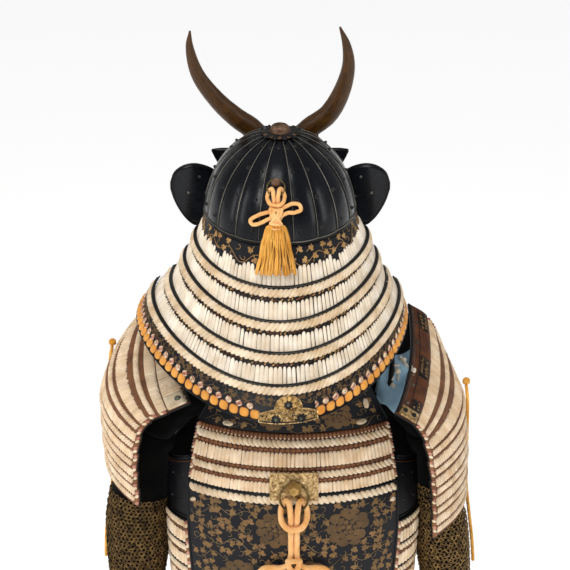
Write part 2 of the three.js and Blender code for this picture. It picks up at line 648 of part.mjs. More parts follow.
function skirt() {
  const each = (2 * Math.PI) / FLAPS;
  const steps = [];
  for (let k = 0; k < FLAP.lames; k += 1) {
    steps.push({ v: k / FLAP.lames, out: 0 }, { v: (k + 0.97) / FLAP.lames, out: FLAP.step });
  }
  for (let flap = 0; flap < FLAPS; flap += 1) {
    const half = each / 2 - rad(FLAP.gap_deg) / 2;
    const face = (u, row, outer) => {
      const { v, out } = steps[row];
      const z = lerp(FLAP.z_top - 2 * SEAM, FLAP.z_bottom, v);
      const turn = flap * each + u * half;
      const waist = BODY.at(-1);
      const reach = FLAP.inset + FLAP.flare * v + (outer ? out : -FLAP.wall);
      const halfDepth = waist.half_depth + FLAP.front_flare * reach;
      return [(waist.half_width + reach) * Math.sin(turn), halfDepth * Math.cos(turn), z];
    };
    const rows = steps.map((_, i) => i);
    addPiece(armour, `skirt_flap_${flap + 1}`, wall(face, range(7, -1, 1), rows), 'white_lacing');
  }
}

// ---------------------------------------------------------------- shoulder guards, sleeves

// Distance down each rear edge profile, so that lames have an equal height.
function withLengths(rows) {
  let down = 0;
  return rows.map((row, i) => {
    if (i) down += Math.hypot(row.x - rows[i - 1].x, row.z - rows[i - 1].z);
    return { ...row, down };
  });
}

// Point of a shoulder guard: w = 0 at the rear edge and 1 at the front, down from the top.
function sodeFace(rows, sx, w, down, out) {
  const at = (across, lower) => {
    const value = (key) => column(rows, key, 'down', lower);
    const swell = 4 * across * (1 - across);
    return new THREE.Vector3(
      sx * (value('x') + value('yaw') * across + value('bulge') * swell),
      SODE.y_middle + SODE.half_chord * (1 - 2 * across),
      value('z') + value('rise') * lerp(across, across * across, 0.5),
    );
  };
  const reach = 0.01;
  const alongW = at(w + reach, down).sub(at(w - reach, down));
  const alongDown = at(w, down + 1).sub(at(w, down - 1));
  const normal = alongW.cross(alongDown).normalize();
  if (normal.x * sx < 0) normal.negate();
  return at(w, down).addScaledVector(normal, out).toArray();
}

function shoulderGuards() {
  for (const { side, sx } of SIDES) {
    const rows = withLengths(SODE[side]);
    const length = rows.at(-1).down;
    const ws = range(13);
    const crown = (w, down, outer) => sodeFace(rows, sx, w, down, outer ? 1.5 : 1.5 - SODE.wall);
    const crownPiece = wall(crown, ws, range(3, 0, SODE.crown - SEAM));
    addPiece(armour, `shoulder_guard_crown_${side}`, crownPiece, 'printed_leather');
    const pitch = (length - SODE.crown) / SODE.lames;
    const steps = [];
    for (let k = 0; k < SODE.lames; k += 1) {
      steps.push({ down: SODE.crown + k * pitch, out: 0 });
      steps.push({ down: SODE.crown + (k + 0.97) * pitch, out: SODE.step });
    }
    const laced = (w, row, outer) => {
      const { down, out } = steps[row];
      return sodeFace(rows, sx, w, down, outer ? out : -SODE.wall);
    };
    const lamesPiece = wall(laced, ws, steps.map((_, i) => i));
    addPiece(armour, `shoulder_guard_lames_${side}`, lamesPiece, 'white_lacing');
    const { knot, route } = SODE_CORDS[side];
    const world = ([px, py, pz]) => [sx * px, py, pz];
    addPiece(armour, `shoulder_cord_${side}`, cordAlong(route.map(world), SODE_CORD, 26), 'amber_cord');
    const ball = turned([[0, -6], [5, -4.5], [7, 0], [5, 4.5], [0, 6]], 12);
    const knotPiece = addPiece(armour, `shoulder_cord_knot_${side}`, ball, 'amber_cord');
    knotPiece.position.set(...world(knot));
  }
}

function sleeves() {
  const turns = range(19, 0, 2 * Math.PI).slice(0, -1);
  for (const { side, sx } of SIDES) {
    const rows = SLEEVES[side].map((row, i) => ({ ...row, rank: i }));
    const face = (turn, rank, outer) => {
      const value = (key, at = rank) => column(rows, key, 'rank', at);
      const step = 0.05;
      const dx = value('x', rank + step) - value('x', rank - step);
      const dz = value('z', rank + step) - value('z', rank - step);
      const length = Math.hypot(dx, dz);
      const inset = outer ? 0 : SLEEVE_WALL;
      const across = (value('across') - inset) * Math.cos(turn);
      const along = (value('along') - inset) * Math.sin(turn);
      return [
        sx * (value('x') - (across * dz) / length),
        value('y') + along,
        value('z') + (across * dx) / length,
      ];
    };
    const last = rows.length - 1;
    const gap = 0.012;
    const cloth = wall(face, turns, range(5, 0, SLEEVE_SPLIT - gap), true);
    addPiece(armour, `sleeve_shoulder_${side}`, cloth, 'blue_cloth');
    addPiece(armour, `sleeve_mail_${side}`, wall(face, turns, range(8, SLEEVE_SPLIT, last), true), 'mail');
  }
}

// ---------------------------------------------------------------- the whole

bowl();
finial();
for (const { side } of SIDES) horn(side);
neckGuard();
ears();
crestAndVisor();
helmetRing();
panels();
sides();
straps();
backRing();
skirt();
shoulderGuards();
sleeves();

export default armour;
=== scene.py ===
# Samurai armour, dressed: lacquer, silk lacing, printed leather, mail and cords around the
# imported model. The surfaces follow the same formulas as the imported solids, in millimetres,
# and every mesh is written in metres.

import math

import bpy
import numpy as np
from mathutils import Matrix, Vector


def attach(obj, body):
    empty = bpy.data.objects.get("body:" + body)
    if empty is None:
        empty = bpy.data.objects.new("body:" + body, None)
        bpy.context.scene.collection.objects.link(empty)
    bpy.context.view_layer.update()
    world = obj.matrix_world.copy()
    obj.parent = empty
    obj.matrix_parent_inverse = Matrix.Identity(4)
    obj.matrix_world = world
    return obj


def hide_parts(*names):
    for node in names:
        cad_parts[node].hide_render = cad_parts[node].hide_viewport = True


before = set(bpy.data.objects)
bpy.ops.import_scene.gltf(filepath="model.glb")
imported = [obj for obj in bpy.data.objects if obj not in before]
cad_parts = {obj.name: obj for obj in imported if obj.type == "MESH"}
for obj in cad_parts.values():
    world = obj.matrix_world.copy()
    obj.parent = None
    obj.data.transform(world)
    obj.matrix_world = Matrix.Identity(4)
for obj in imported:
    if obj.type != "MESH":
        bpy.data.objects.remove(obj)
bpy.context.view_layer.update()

MM = 0.001
TAU = 2 * math.pi
SIDES = (("left", 1), ("right", -1))
rng = np.random.default_rng(7821)


def rad(degrees):
    return math.radians(degrees)


def lerp(a, b, t):
    return a + (b - a) * t


# ------------------------------------------------------------------ camera, light and floor

AIM = Vector((0.0124, 0.0, 0.104))
VIEW_DISTANCE = 3.2
VIEW_ELEVATION = 21.0
VIEW_WIDTH = 883.5 * MM  # what the frame takes in at the aim point
SENSOR = 36.0
FLOOR_Z = -1.15


def camera():
    data = bpy.data.cameras.new("camera")
    data.sensor_width = SENSOR
    data.lens = SENSOR * VIEW_DISTANCE / VIEW_WIDTH
    data.clip_end = 200
    eye = bpy.data.objects.new("camera", data)
    bpy.context.scene.collection.objects.link(eye)
    up = rad(VIEW_ELEVATION)
    eye.location = AIM + VIEW_DISTANCE * Vector((0, math.cos(up), math.sin(up)))
    eye.rotation_euler = (AIM - eye.location).to_track_quat("-Z", "Y").to_euler()
    bpy.context.scene.camera = eye


def area_light(name, place, size, power):
    data = bpy.data.lights.new(name, "AREA")
    data.shape = "RECTANGLE"
    data.size, data.size_y = size
    data.energy = power
    lamp = bpy.data.objects.new(name, data)
    bpy.context.scene.collection.objects.link(lamp)
    lamp.location = place
    lamp.rotation_euler = (AIM - Vector(place)).to_track_quat("-Z", "Y").to_euler()


camera()

# ------------------------------------------------------------------ mesh building

ROUTE_STEPS = 24  # fine points between two points of a route
CAP_LEAD = np.array([0.0, 0.55, 0.85])  # widths of the sections that close a tube's end
CAP_LENGTH = 0.6  # of the radius


def run_along(path):
    """Length along a path up to each of its points."""
    return np.concatenate([[0], np.cumsum(np.linalg.norm(np.diff(path, axis=0), axis=1))])


def normed(vectors):
    return vectors / np.linalg.norm(vectors, axis=-1)[..., None]


def smooth_path(points, spacing):
    """Even points along the smooth curve through the route, both in millimetres."""
    p = np.array(points, float)
    p = np.vstack([2 * p[0] - p[1], p, 2 * p[-1] - p[-2]])
    fine = []
    for i in range(1, len(p) - 2):
        a, b, c, d = p[i - 1], p[i], p[i + 1], p[i + 2]
        t1 = np.linalg.norm(b - a) ** 0.5
        t2 = np.linalg.norm(c - b) ** 0.5
        t3 = np.linalg.norm(d - c) ** 0.5
        m1 = ((b - a) / t1 - (c - a) / (t1 + t2) + (c - b) / t2) * t2
        m2 = ((c - b) / t2 - (d - b) / (t2 + t3) + (d - c) / t3) * t2
        t = np.linspace(0, 1, ROUTE_STEPS, endpoint=False)[:, None]
        fine.append(
            (2 * t**3 - 3 * t**2 + 1) * b
            + (t**3 - 2 * t**2 + t) * m1
            + (3 * t**2 - 2 * t**3) * c
            + (t**3 - t**2) * m2
        )
    fine = np.vstack(fine + [p[-2][None]])
    run = run_along(fine)
    count = max(2, int(round(run[-1] / spacing)) + 1)
    at = np.linspace(0, run[-1], count)
    return np.stack([np.interp(at, run, fine[:, k]) for k in range(3)], axis=1)


def path_length(path):
    return float(np.linalg.norm(np.diff(path, axis=0), axis=1).sum())


def grid_faces(nu, nv, wrap=False):
    """Quads of a grid of nu columns by nv rows, point i * nv + j."""
    i, j = np.meshgrid(np.arange(nu if wrap else nu - 1), np.arange(nv - 1), indexing="ij")
    k = (i + 1) % nu
    quads = np.stack([i * nv + j, k * nv + j, k * nv + j + 1, i * nv + j + 1], axis=-1)
    return quads.reshape(-1, 4)


class Build:
    """Gathers patches of one piece: points in millimetres, faces, a tone and local
    coordinates for the weave, and the number of a finish."""

    def __init__(self):
        self.points, self.faces, self.tones, self.weaves, self.mats = [], [], [], [], []
        self.count = 0

    def add(self, points, faces, tone=1.0, weave=None, mat=0):
        points = np.asarray(points, float).reshape(-1, 3)
        faces = np.asarray(faces, int)
        n = len(points)
        self.points.append(points)
        self.faces.append(faces + self.count)
        self.tones.append(np.broadcast_to(np.asarray(tone, float), (n,)).copy())
        weave = points if weave is None else np.asarray(weave, float).reshape(-1, 3)
        self.weaves.append(weave)
        self.mats.append(np.broadcast_to(np.asarray(mat, int), (len(faces),)).copy())
        self.count += n

    def make(self, name, replaces=(), body="root"):
        """One Blender object of everything gathered, riding on a body."""
        mesh = bpy.data.meshes.new(name)
        points = np.vstack(self.points) * MM
        mesh.vertices.add(len(points))
        mesh.vertices.foreach_set("co", points.astype(np.float32).ravel())
        sizes = np.concatenate([np.full(len(f), f.shape[1]) for f in self.faces])
        corners = np.concatenate([f.ravel() for f in self.faces])
        mesh.loops.add(len(corners))
        mesh.loops.foreach_set("vertex_index", corners.astype(np.int32))
        starts = np.concatenate([[0], np.cumsum(sizes)[:-1]])
        mesh.polygons.add(len(sizes))
        mesh.polygons.foreach_set("loop_start", starts.astype(np.int32))
        used, local = np.unique(np.concatenate(self.mats), return_inverse=True)
        mesh.polygons.foreach_set("material_index", local.astype(np.int32).ravel())
        mesh.polygons.foreach_set("use_smooth", np.full(len(sizes), True))
        tone = mesh.attributes.new("tone", "FLOAT", "POINT")
        tone.data.foreach_set("value", np.concatenate(self.tones).astype(np.float32))
        weave = mesh.attributes.new("weave", "FLOAT_VECTOR", "POINT")
        weave.data.foreach_set("vector", np.vstack(self.weaves).astype(np.float32).ravel())
        mesh.update(calc_edges=True)
        mesh.validate()
        for number in used:
            mesh.materials.append(MATERIALS[number])
        obj = bpy.data.objects.new(name, mesh)
        bpy.context.scene.collection.objects.link(obj)
        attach(obj, body)
        if replaces:
            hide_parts(*replaces)
        return obj


def outward(points, faces, middle):
    """The faces, turned so that they look away from the middle points on average."""
    p = points.reshape(-1, 3)
    a, b, c = p[faces[:, 0]], p[faces[:, 1]], p[faces[:, 2]]
    normal = np.cross(b - a, c - a)
    away = p[faces].mean(axis=1) - middle
    return faces if (normal * away).sum() > 0 else faces[:, ::-1]


def frames_along(path):
    """Tangent and two steady cross directions at each point of a path."""
    tangent = normed(np.gradient(path, axis=0))
    start = np.array([0, 0, 1.0]) if abs(tangent[0][2]) < 0.9 else np.array([1.0, 0, 0])
    side = np.cross(tangent[0], start)
    sides = []
    for t in tangent:
        side = side - t * side.dot(t)
        side = side / np.linalg.norm(side)
        sides.append(side)
    sides = np.array(sides)
    return tangent, sides, np.cross(tangent, sides)


def tube(build, path, radius, corners, tone, mat, relief=None):
    """Round tube with closed, rounded ends. relief(along mm, turn) scales its radius."""
    path = np.asarray(path, float)
    radius = np.broadcast_to(np.asarray(radius, float), (len(path),))
    t, _, _ = frames_along(path)
    first = [path[0] - t[0] * radius[0] * CAP_LENGTH * (1 - k) for k in CAP_LEAD]
    last = [path[-1] + t[-1] * radius[-1] * CAP_LENGTH * (1 - k) for k in CAP_LEAD[::-1]]
    path = np.vstack([first, path, last])
    caps = np.maximum(CAP_LEAD, 0.02)
    radius = np.concatenate([radius[0] * caps, radius, radius[-1] * caps[::-1]])
    _, one, two = frames_along(path)
    run = run_along(path)
    turns = np.arange(corners) * TAU / corners
    scale = np.ones((corners, len(path)))
    if relief is not None:
        scale = relief(run[None, :], turns[:, None])
    r = radius[None, :] * scale
    points = (
        path[None]
        + (r * np.cos(turns)[:, None])[..., None] * one[None]
        + (r * np.sin(turns)[:, None])[..., None] * two[None]
    )
    weave = np.stack(
        np.broadcast_arrays(run[None, :], turns[:, None] * radius.max(), 0 * r), axis=-1
    )
    faces = outward(points, grid_faces(corners, len(path), wrap=True), np.tile(
        path[:-1] + np.diff(path, axis=0) / 2, (corners, 1)))
    build.add(points, faces, tone, weave, mat)


def twist(strands, pitch, depth):
    """Relief of a twisted cord: strands that wind round it, with grooves between them."""

    def relief(run, turn):
        return 1 - depth + depth * np.abs(np.cos((strands * turn - TAU * run / pitch) / 2))

    return relief


# ------------------------------------------------------------------ surfaces of the armour


def column(rows, key, along, at):
    """Values of one named column of a table at places along another, by a smooth curve."""
    x = np.array([row[along] for row in rows], float)
    y = np.array([row[key] for row in rows], float)
    at = np.asarray(at, float)
    if x[-1] < x[0]:
        x, at = -x, -at
    i = np.clip(np.searchsorted(x, at, side="left") - 1, 0, len(x) - 2)
    before = np.concatenate([[0], np.arange(len(x) - 1)])
    after = np.concatenate([np.arange(1, len(x)), [len(x) - 1]])
    slope = (y[after] - y[before]) / (x[after] - x[before])
    span = x[i + 1] - x[i]
    t = np.clip((at - x[i]) / span, 0, 1)
    curve = (2 * t**3 - 3 * t**2 + 1) * y[i] + (3 * t**2 - 2 * t**3) * y[i + 1]
    return curve + span * ((t**3 - 2 * t**2 + t) * slope[i] + (t**3 - t**2) * slope[i + 1])


def table(columns, *rows):
    """Rows with named columns."""
    return [dict(zip(columns.split(), row)) for row in rows]


HELMET = np.array([20.0, 0.0, 229.0])
BOWL = dict(half_width=114, half_length=133, height=125, tilt_deg=5.2, top_hole=12)
NECK_END = rad(104)
NECK_WALL = 3
NECK = table(
    "half_width back_reach z_side z_back dip shift",
    (112.5, 130.5, -1.6, -13.5, 1, 0), (133, 150, -38, -70, 1.6, -2),
    (148.5, 178, -72, -113, 2, -1), (167, 205, -108, -152, 2, 2), (191, 236, -131, -190, 2, 6),
    (209, 272, -170, -236, 2, 13),
)
BODY = table(
    "z half_width half_depth",
    (-20, 168, 116), (-90, 186, 132), (-170, 198, 137), (-270, 203, 137), (-388, 196, 132),
)
PANEL_ROWS = [
    dict(row="top", z=(-22, -88), half_deg=(43, 53), out=(0, 0)),
    dict(row="lame_1", z=(-88, -141), half_deg=(53, 53.5), out=(0.5, 4)),
    dict(row="lame_2", z=(-141, -185), half_deg=(53.5, 54), out=(1, 4)),
    dict(row="lower", z=(-185, -388), half_deg=(54, 54), out=(4, 0.5)),
]
NECKLINE = dict(back=10, front=34)
PANEL_WALL = 3
SIDE_GAP_DEG = 0.8
SIDE_PLATE = dict(z_top=-150, scoop=26, z_bottom=-262, inset=1)
FLAPS = 7
FLAP = dict(
    z_top=-388, z_bottom=-640, inset=-0.5, flare=16, front_flare=1.3, wall=4, gap_deg=1.6,
    lames=5, step=2.5,
)
SODE = dict(half_chord=141, y_middle=-1, wall=4, step=3, lames=6, crown=38)
SODE_ROWS = dict(
    left=table(
        "x z rise yaw bulge",
        (155, -33, 70, 24, 13), (194, -52, 78, 20, 20), (222, -70, 84, 14, 44),
        (233, -97, 84, 10, 60), (238, -145, 74, 4, 60), (235, -209, 60, 0, 60),
    ),
    right=table(
        "x z rise yaw bulge",
        (154, -50, 67, 34, 13), (188, -75, 67, 33, 15), (203, -112, 52, 34, 44),
        (211, -165, 36, 14, 57), (214, -215, 30, 4, 60), (215, -263, 28, 0, 60),
    ),
)
SLEEVE_WALL = 2.5
MAIL_TOP = {"left": -240, "right": -224}  # height where the mail begins to show
SLEEVE_SPLIT = 3
SLEEVES = dict(
    left=table(
        "x z y across along",
        (122, -58, 0, 46, 52), (160, -67, 0, 44, 53), (195, -93, 0, 41, 53), (222, -130, 0, 38, 52),
        (241, -175, 0, 39, 52), (247, -225, 0, 41, 51), (254.5, -295, -2, 47, 51),
        (255, -390, -6, 45, 48), (254, -480, -16, 40, 42), (253, -560, -28, 34, 36),
    ),
    right=table(
        "x z y across along",
        (122, -58, 0, 46, 52), (160, -67, 0, 44, 53), (192, -93, 0, 39, 53), (215, -127, 0, 36, 52),
        (235, -175, 0, 34, 51), (236, -245, 0, 30, 49), (244.5, -305, -2, 37, 47),
        (250, -390, -6, 39, 46), (251, -480, -16, 38, 42), (250, -560, -28, 34, 36),
    ),
)


def stack(x, y, z):
    return np.stack(np.broadcast_arrays(x, y, z), axis=-1)


def tilted(x, y, z):
    """Points of the upright bowl, tipped back with the helmet and put in place."""
    tilt = -rad(BOWL["tilt_deg"])
    c, s = math.cos(tilt), math.sin(tilt)
    return stack(x, y * c - z * s, y * s + z * c) + HELMET


def bowl_face(turn, lift, out):
    """Point of the helmet bowl; turn 0 is the back centre, lift 0 the rim."""
    flat = np.cos(lift)
    x = (BOWL["half_width"] + out) * flat * np.sin(turn)
    y = (BOWL["half_length"] + out) * flat * np.cos(turn)
    return tilted(x, y, (BOWL["height"] + out) * np.sin(lift))


def neck_rim(row, turn):
    """Line between two lames of the neck guard, from its table."""
    r = NECK[row]
    back, side = np.cos(turn), np.sin(turn)
    if r["dip"] == 1:
        lowering = back
    else:
        lowering = np.maximum(back, 0) ** r["dip"]
    z = lerp(r["z_side"], r["z_back"], lowering)
    return r["half_width"] * side + r["shift"] * side**2, r["back_reach"] * back, z


def neck_face(row):
    """Surface of one lame of the neck guard: turn, v = 0 at its top rim to 1, out."""
    inner = row < len(NECK) - 2
    tuck = NECK_WALL + 0.8 if inner else 0
    drop = 4 if inner else 0

    def face(turn, v, out):
        top, bottom = neck_rim(row, turn), neck_rim(row + 1, turn)
        s, c = np.sin(turn), np.cos(turn)
        x = lerp(top[0], bottom[0] - tuck * s, v) + out * s
        y = lerp(top[1], bottom[1] - tuck * c, v) + out * c
        return stack(x, y, lerp(top[2], bottom[2] - drop, v)) + HELMET

    return face


def body_face(turn, z, out):
    """Surface of the cuirass: an oval at each height."""
    a = column(BODY, "half_width", "z", z) + out
    b = column(BODY, "half_depth", "z", z) + out
    return stack(a * np.sin(turn), b * np.cos(turn), z)


def panel_face(panel, row):
    """Surface of one piece of the back or front: u from -1 to 1 across, v down, out."""
    centre = 0 if panel == "back" else math.pi

    def face(u, v, out):
        u, v = np.asarray(u, float), np.asarray(v, float)
        half = np.radians(lerp(*row["half_deg"], v) - SIDE_GAP_DEG / 2)
        dip = NECKLINE[panel] * (1 - u**2) * (1 - v) if row["row"] == "top" else 0
        z = lerp(row["z"][0], row["z"][1] + 0.4, v) - dip
        return body_face(centre + u * half, z, lerp(*row["out"], v) + out)

    return face


def side_face(sx, z_top, z_bottom, scoop, inset):
    """Surface under one arm: u from 0 at the back to 1 at the front, v down, out."""
    start = rad(PANEL_ROWS[-1]["half_deg"][1] + SIDE_GAP_DEG / 2)

    def face(u, v, out):
        u, v = np.asarray(u, float), np.asarray(v, float)
        turn = lerp(start, math.pi - start, u)
        z = lerp(z_top - scoop * np.sin(u * math.pi), z_bottom, v)
        return body_face(sx * turn, z, out - inset)

    return face


def flap_face(flap):
    """Surface of one skirt flap without its steps: u from -1 to 1, v down, out."""
    each = TAU / FLAPS
    half = each / 2 - rad(FLAP["gap_deg"]) / 2
    waist = BODY[-1]

    def face(u, v, out):
        turn = flap * each + np.asarray(u, float) * half
        v = np.asarray(v, float)
        z = lerp(FLAP["z_top"] - 0.8, FLAP["z_bottom"], v)
        reach = FLAP["inset"] + FLAP["flare"] * v + out
        x = (waist["half_width"] + reach) * np.sin(turn)
        y = (waist["half_depth"] + FLAP["front_flare"] * reach) * np.cos(turn)
        return stack(x, y, z)

    return face


def sode_rows(side):
    """Rows of a shoulder guard's table, with the distance down to each."""
    rows = [dict(r) for r in SODE_ROWS[side]]
    down = 0
    for i, row in enumerate(rows):
        if i:
            down += math.hypot(row["x"] - rows[i - 1]["x"], row["z"] - rows[i - 1]["z"])
        row["down"] = down
    return rows


def sode_face(side, sx):
    """Surface of a shoulder guard: w from 0 at the rear edge to 1, millimetres down, out."""
    rows = sode_rows(side)

    def at(w, down):
        swell = 4 * w * (1 - w)
        x = column(rows, "x", "down", down) + column(rows, "yaw", "down", down) * w
        x = x + column(rows, "bulge", "down", down) * swell
        z = column(rows, "z", "down", down)
        z = z + column(rows, "rise", "down", down) * lerp(w, w * w, 0.5)
        return stack(sx * x, SODE["y_middle"] + SODE["half_chord"] * (1 - 2 * w), z)

    def face(w, down, out):
        w, down, out = np.broadcast_arrays(
            np.asarray(w, float), np.asarray(down, float), np.asarray(out, float))
        reach = 0.01
        normal = normed(np.cross(
            at(w + reach, down) - at(w - reach, down), at(w, down + 1) - at(w, down - 1)))
        normal *= np.where(normal[..., :1] * sx < 0, -1, 1)
        return at(w, down) + normal * out[..., None]

    return face, rows[-1]["down"]


def sleeve_face(side, sx):
    """Surface of a sleeve: turn round it, rank down the rows of its table, out."""
    rows = [dict(r, rank=i) for i, r in enumerate(SLEEVES[side])]

    def face(turn, rank, out):
        turn, rank = np.broadcast_arrays(np.asarray(turn, float), np.asarray(rank, float))

        def value(key, at=rank):
            return column(rows, key, "rank", at)

        step = 0.05
        dx = value("x", rank + step) - value("x", rank - step)
        dz = value("z", rank + step) - value("z", rank - step)
        length = np.hypot(dx, dz)
        across = (value("across") + out) * np.cos(turn)
        along = (value("along") + out) * np.sin(turn)
        x = sx * (value("x") - across * dz / length)
        return stack(x, value("y") + along, value("z") + across * dx / length)

    return face


# ------------------------------------------------------------------ finishes

MATERIALS = []


def colour(code):
    """Linear colour of a six-digit sRGB code."""
    parts = [int(code[i : i + 2], 16) / 255 for i in (0, 2, 4)]
    return [c / 12.92 if c < 0.04045 else ((c + 0.055) / 1.055) ** 2.4 for c in parts] + [1]


class Nodes:
    """Short ways to add and join the nodes of one material."""

    def __init__(self, name):
        self.material = bpy.data.materials.new(name)
        self.material.use_nodes = True
        self.tree = self.material.node_tree
        self.shader = self.tree.nodes["Principled BSDF"]
        self.number = len(MATERIALS)
        MATERIALS.append(self.material)

    def add(self, kind, inputs=None, **settings):
        node = self.tree.nodes.new(kind)
        for key, value in settings.items():
            setattr(node, key, value)
        for key, value in (inputs or {}).items():
            if isinstance(value, bpy.types.NodeSocket):
                self.tree.links.new(value, node.inputs[key])
            else:
                node.inputs[key].default_value = value
        return node

    def place(self):
        return self.add("ShaderNodeTexCoord").outputs["Object"]

    def attribute(self, name, output):
        return self.add("ShaderNodeAttribute", attribute_name=name).outputs[output]

    def noise(self, vector, scale, detail, rough=0.55):
        inputs = {"Vector": vector, "Scale": scale, "Detail": detail, "Roughness": rough}
        return self.add("ShaderNodeTexNoise", inputs).outputs["Fac"]

    def cells(self, vector, scale, feature="F1"):
        node = self.add("ShaderNodeTexVoronoi", {"Vector": vector, "Scale": scale}, feature=feature)
        return node.outputs["Distance"]

    def wave(self, vector, scale, distortion, direction="X"):
        inputs = {"Vector": vector, "Scale": scale, "Distortion": distortion, "Detail": 1.0}
        node = self.add("ShaderNodeTexWave", inputs, bands_direction=direction)
        return node.outputs["Fac"]

    def math(self, operation, a, b):
        return self.add("ShaderNodeMath", {0: a, 1: b}, operation=operation).outputs[0]

    def spread(self, value, low, high, to_low=0.0, to_high=1.0):
        inputs = {"Value": value, "From Min": low, "From Max": high,
                  "To Min": to_low, "To Max": to_high}
        return self.add("ShaderNodeMapRange", inputs).outputs["Result"]

    def mix(self, factor, a, b):
        node = self.add("ShaderNodeMix", data_type="RGBA")
        sockets = [s for s in node.inputs if s.type == "RGBA"]
        for socket, value in ((node.inputs[0], factor), (sockets[0], a), (sockets[1], b)):
            if isinstance(value, bpy.types.NodeSocket):
                self.tree.links.new(value, socket)
            else:
                socket.default_value = value
        return [s for s in node.outputs if s.type == "RGBA"][0]

    def toned(self, base):
        """The base colour, lighter or darker by the tone of each point."""
        tone = self.attribute("tone", "Fac")
        node = self.add("ShaderNodeVectorMath", {0: base, "Scale": tone}, operation="SCALE")
        return node.outputs[0]

    def stretched(self, vector, scale):
        return self.add("ShaderNodeMapping", {"Vector": vector, "Scale": scale}).outputs[0]

    def bump(self, height, depth_mm, strength, under=None):
        inputs = {"Height": height, "Distance": depth_mm * MM, "Strength": strength}
        node = self.add("ShaderNodeBump", inputs)
        if under is not None:
            self.tree.links.new(under, node.inputs["Normal"])
        return node.outputs[0]

    def done(self, base, normal, rough, **fixed):
        """Joins the colour, bump and roughness to the shader and gives the finish's number."""
        links = {"Base Color": base, "Normal": normal, "Roughness": rough}
        for key, value in links.items():
            if isinstance(value, bpy.types.NodeSocket):
                self.tree.links.new(value, self.shader.inputs[key])
            elif value is not None:
                self.shader.inputs[key].default_value = value
        names = {s.name.lower().replace(" ", "_"): s.name for s in self.shader.inputs}
        for key, value in fixed.items():
            self.shader.inputs[names[key]].default_value = value
        return self.number


def silk(name, light, shade, rough=0.8, fibre=0.25):
    """Flat braided or twisted silk: fine slanted fibres, uneven ageing."""
    n = Nodes(name)
    place = n.place()
    weave = n.attribute("weave", "Vector")
    age = n.noise(place, 38, 4)
    threads = n.noise(n.stretched(weave, (2.6, 0.5, 1)), 1.0, 3)
    base = n.mix(n.spread(age, 0.35, 0.68), colour(light), colour(shade))
    base = n.mix(n.spread(threads, 0.35, 0.75, 0, 0.28), base, colour(shade))
    base = n.toned(base)
    plaits = n.wave(weave, 0.33, 1.5, "DIAGONAL")
    height = n.math("ADD", n.math("MULTIPLY", plaits, 0.5), threads)
    return n.done(base, n.bump(height, fibre, 0.8), rough, sheen_weight=0.15, sheen_roughness=0.4,
                  specular_ior_level=0.3)


def leather(name, light, dark, rough, grain=0.12):
    """Grained leather with worn, lighter patches."""
    n = Nodes(name)
    place = n.place()
    wear = n.noise(place, 30, 5, 0.62)
    base = n.mix(n.spread(wear, 0.38, 0.7), colour(dark), colour(light))
    base = n.toned(base)
    pores = n.cells(place, 650)
    soft = n.noise(place, 120, 3)
    normal = n.bump(n.math("ADD", pores, soft), grain, 0.6)
    return n.done(base, normal, n.spread(wear, 0.3, 0.7, rough - 0.1, rough + 0.12),
                  specular_ior_level=0.2)


def lacquer(name, light, dark, rough, coat=0.6):
    """Old gloss lacquer: deep, slightly wavy, with dull brownish rubbed places."""
    n = Nodes(name)
    place = n.place()
    wear = n.noise(place, 14, 5, 0.6)
    scuffs = n.noise(place, 160, 4, 0.7)
    base = n.mix(n.spread(wear, 0.42, 0.72), colour(dark), colour(light))
    base = n.toned(base)
    normal = n.bump(n.noise(place, 45, 3), 0.35, 0.35)
    normal = n.bump(scuffs, 0.05, 0.35, normal)
    return n.done(base, normal, n.spread(scuffs, 0.35, 0.75, rough, rough + 0.2),
                  specular_ior_level=0.15, coat_weight=coat, coat_roughness=0.16, coat_ior=1.2)


def metal(name, light, dark, rough, pattern_scale, relief, metallic):
    """Worked metal with dark patina in its hollows."""
    n = Nodes(name)
    place = n.place()
    marks = n.cells(place, pattern_scale, "SMOOTH_F1")
    patina = n.noise(place, 90, 4, 0.65)
    mixed = n.math("ADD", n.math("MULTIPLY", marks, 0.6), patina)
    base = n.mix(n.spread(mixed, 0.45, 0.95), colour(light), colour(dark))
    base = n.toned(base)
    return n.done(base, n.bump(marks, relief, 0.6), n.spread(patina, 0.3, 0.7, rough, rough + 0.22),
                  metallic=metallic)


def horn_finish(name):
    """Buffalo horn: brown, mottled along its length."""
    n = Nodes(name)
    weave = n.attribute("weave", "Vector")
    streaks = n.noise(n.stretched(weave, (0.05, 0.45, 1)), 1.0, 5, 0.62)
    clouds = n.noise(n.place(), 55, 4)
    base = n.mix(n.spread(streaks, 0.34, 0.68), colour("2C1A0B"), colour("5A3A14"))
    base = n.mix(n.spread(clouds, 0.42, 0.7, 0, 0.55), base, colour("2A190B"))
    base = n.toned(base)
    specks = n.noise(n.place(), 420, 2)
    height = n.math("ADD", n.math("MULTIPLY", specks, 0.4), streaks)
    return n.done(base, n.bump(height, 0.25, 0.4), 0.4, specular_ior_level=0.25)


def cloth(name, light, dark, pitch_mm, sheen=0.2):
    """Plain woven cloth on the weave coordinates."""
    n = Nodes(name)
    weave = n.attribute("weave", "Vector")
    place = n.place()
    age = n.noise(place, 26, 5)
    across = n.wave(n.stretched(weave, (1, 0, 0)), 0.31 / pitch_mm, 0.3)
    along = n.wave(n.stretched(weave, (0, 1, 0)), 0.31 / pitch_mm, 0.3, "Y")
    threads = n.math("MULTIPLY", across, along)
    base = n.mix(n.spread(age, 0.35, 0.7), colour(light), colour(dark))
    # Painted shade: the colour darkens in the hollows between the threads.
    base = n.mix(n.spread(threads, 0.0, 0.6, 0.3, 0), base, colour(dark))
    base = n.toned(base)
    return n.done(base, n.bump(threads, 0.2, 0.7), 0.85, sheen_weight=sheen, sheen_roughness=0.5,
                  specular_ior_level=sheen)


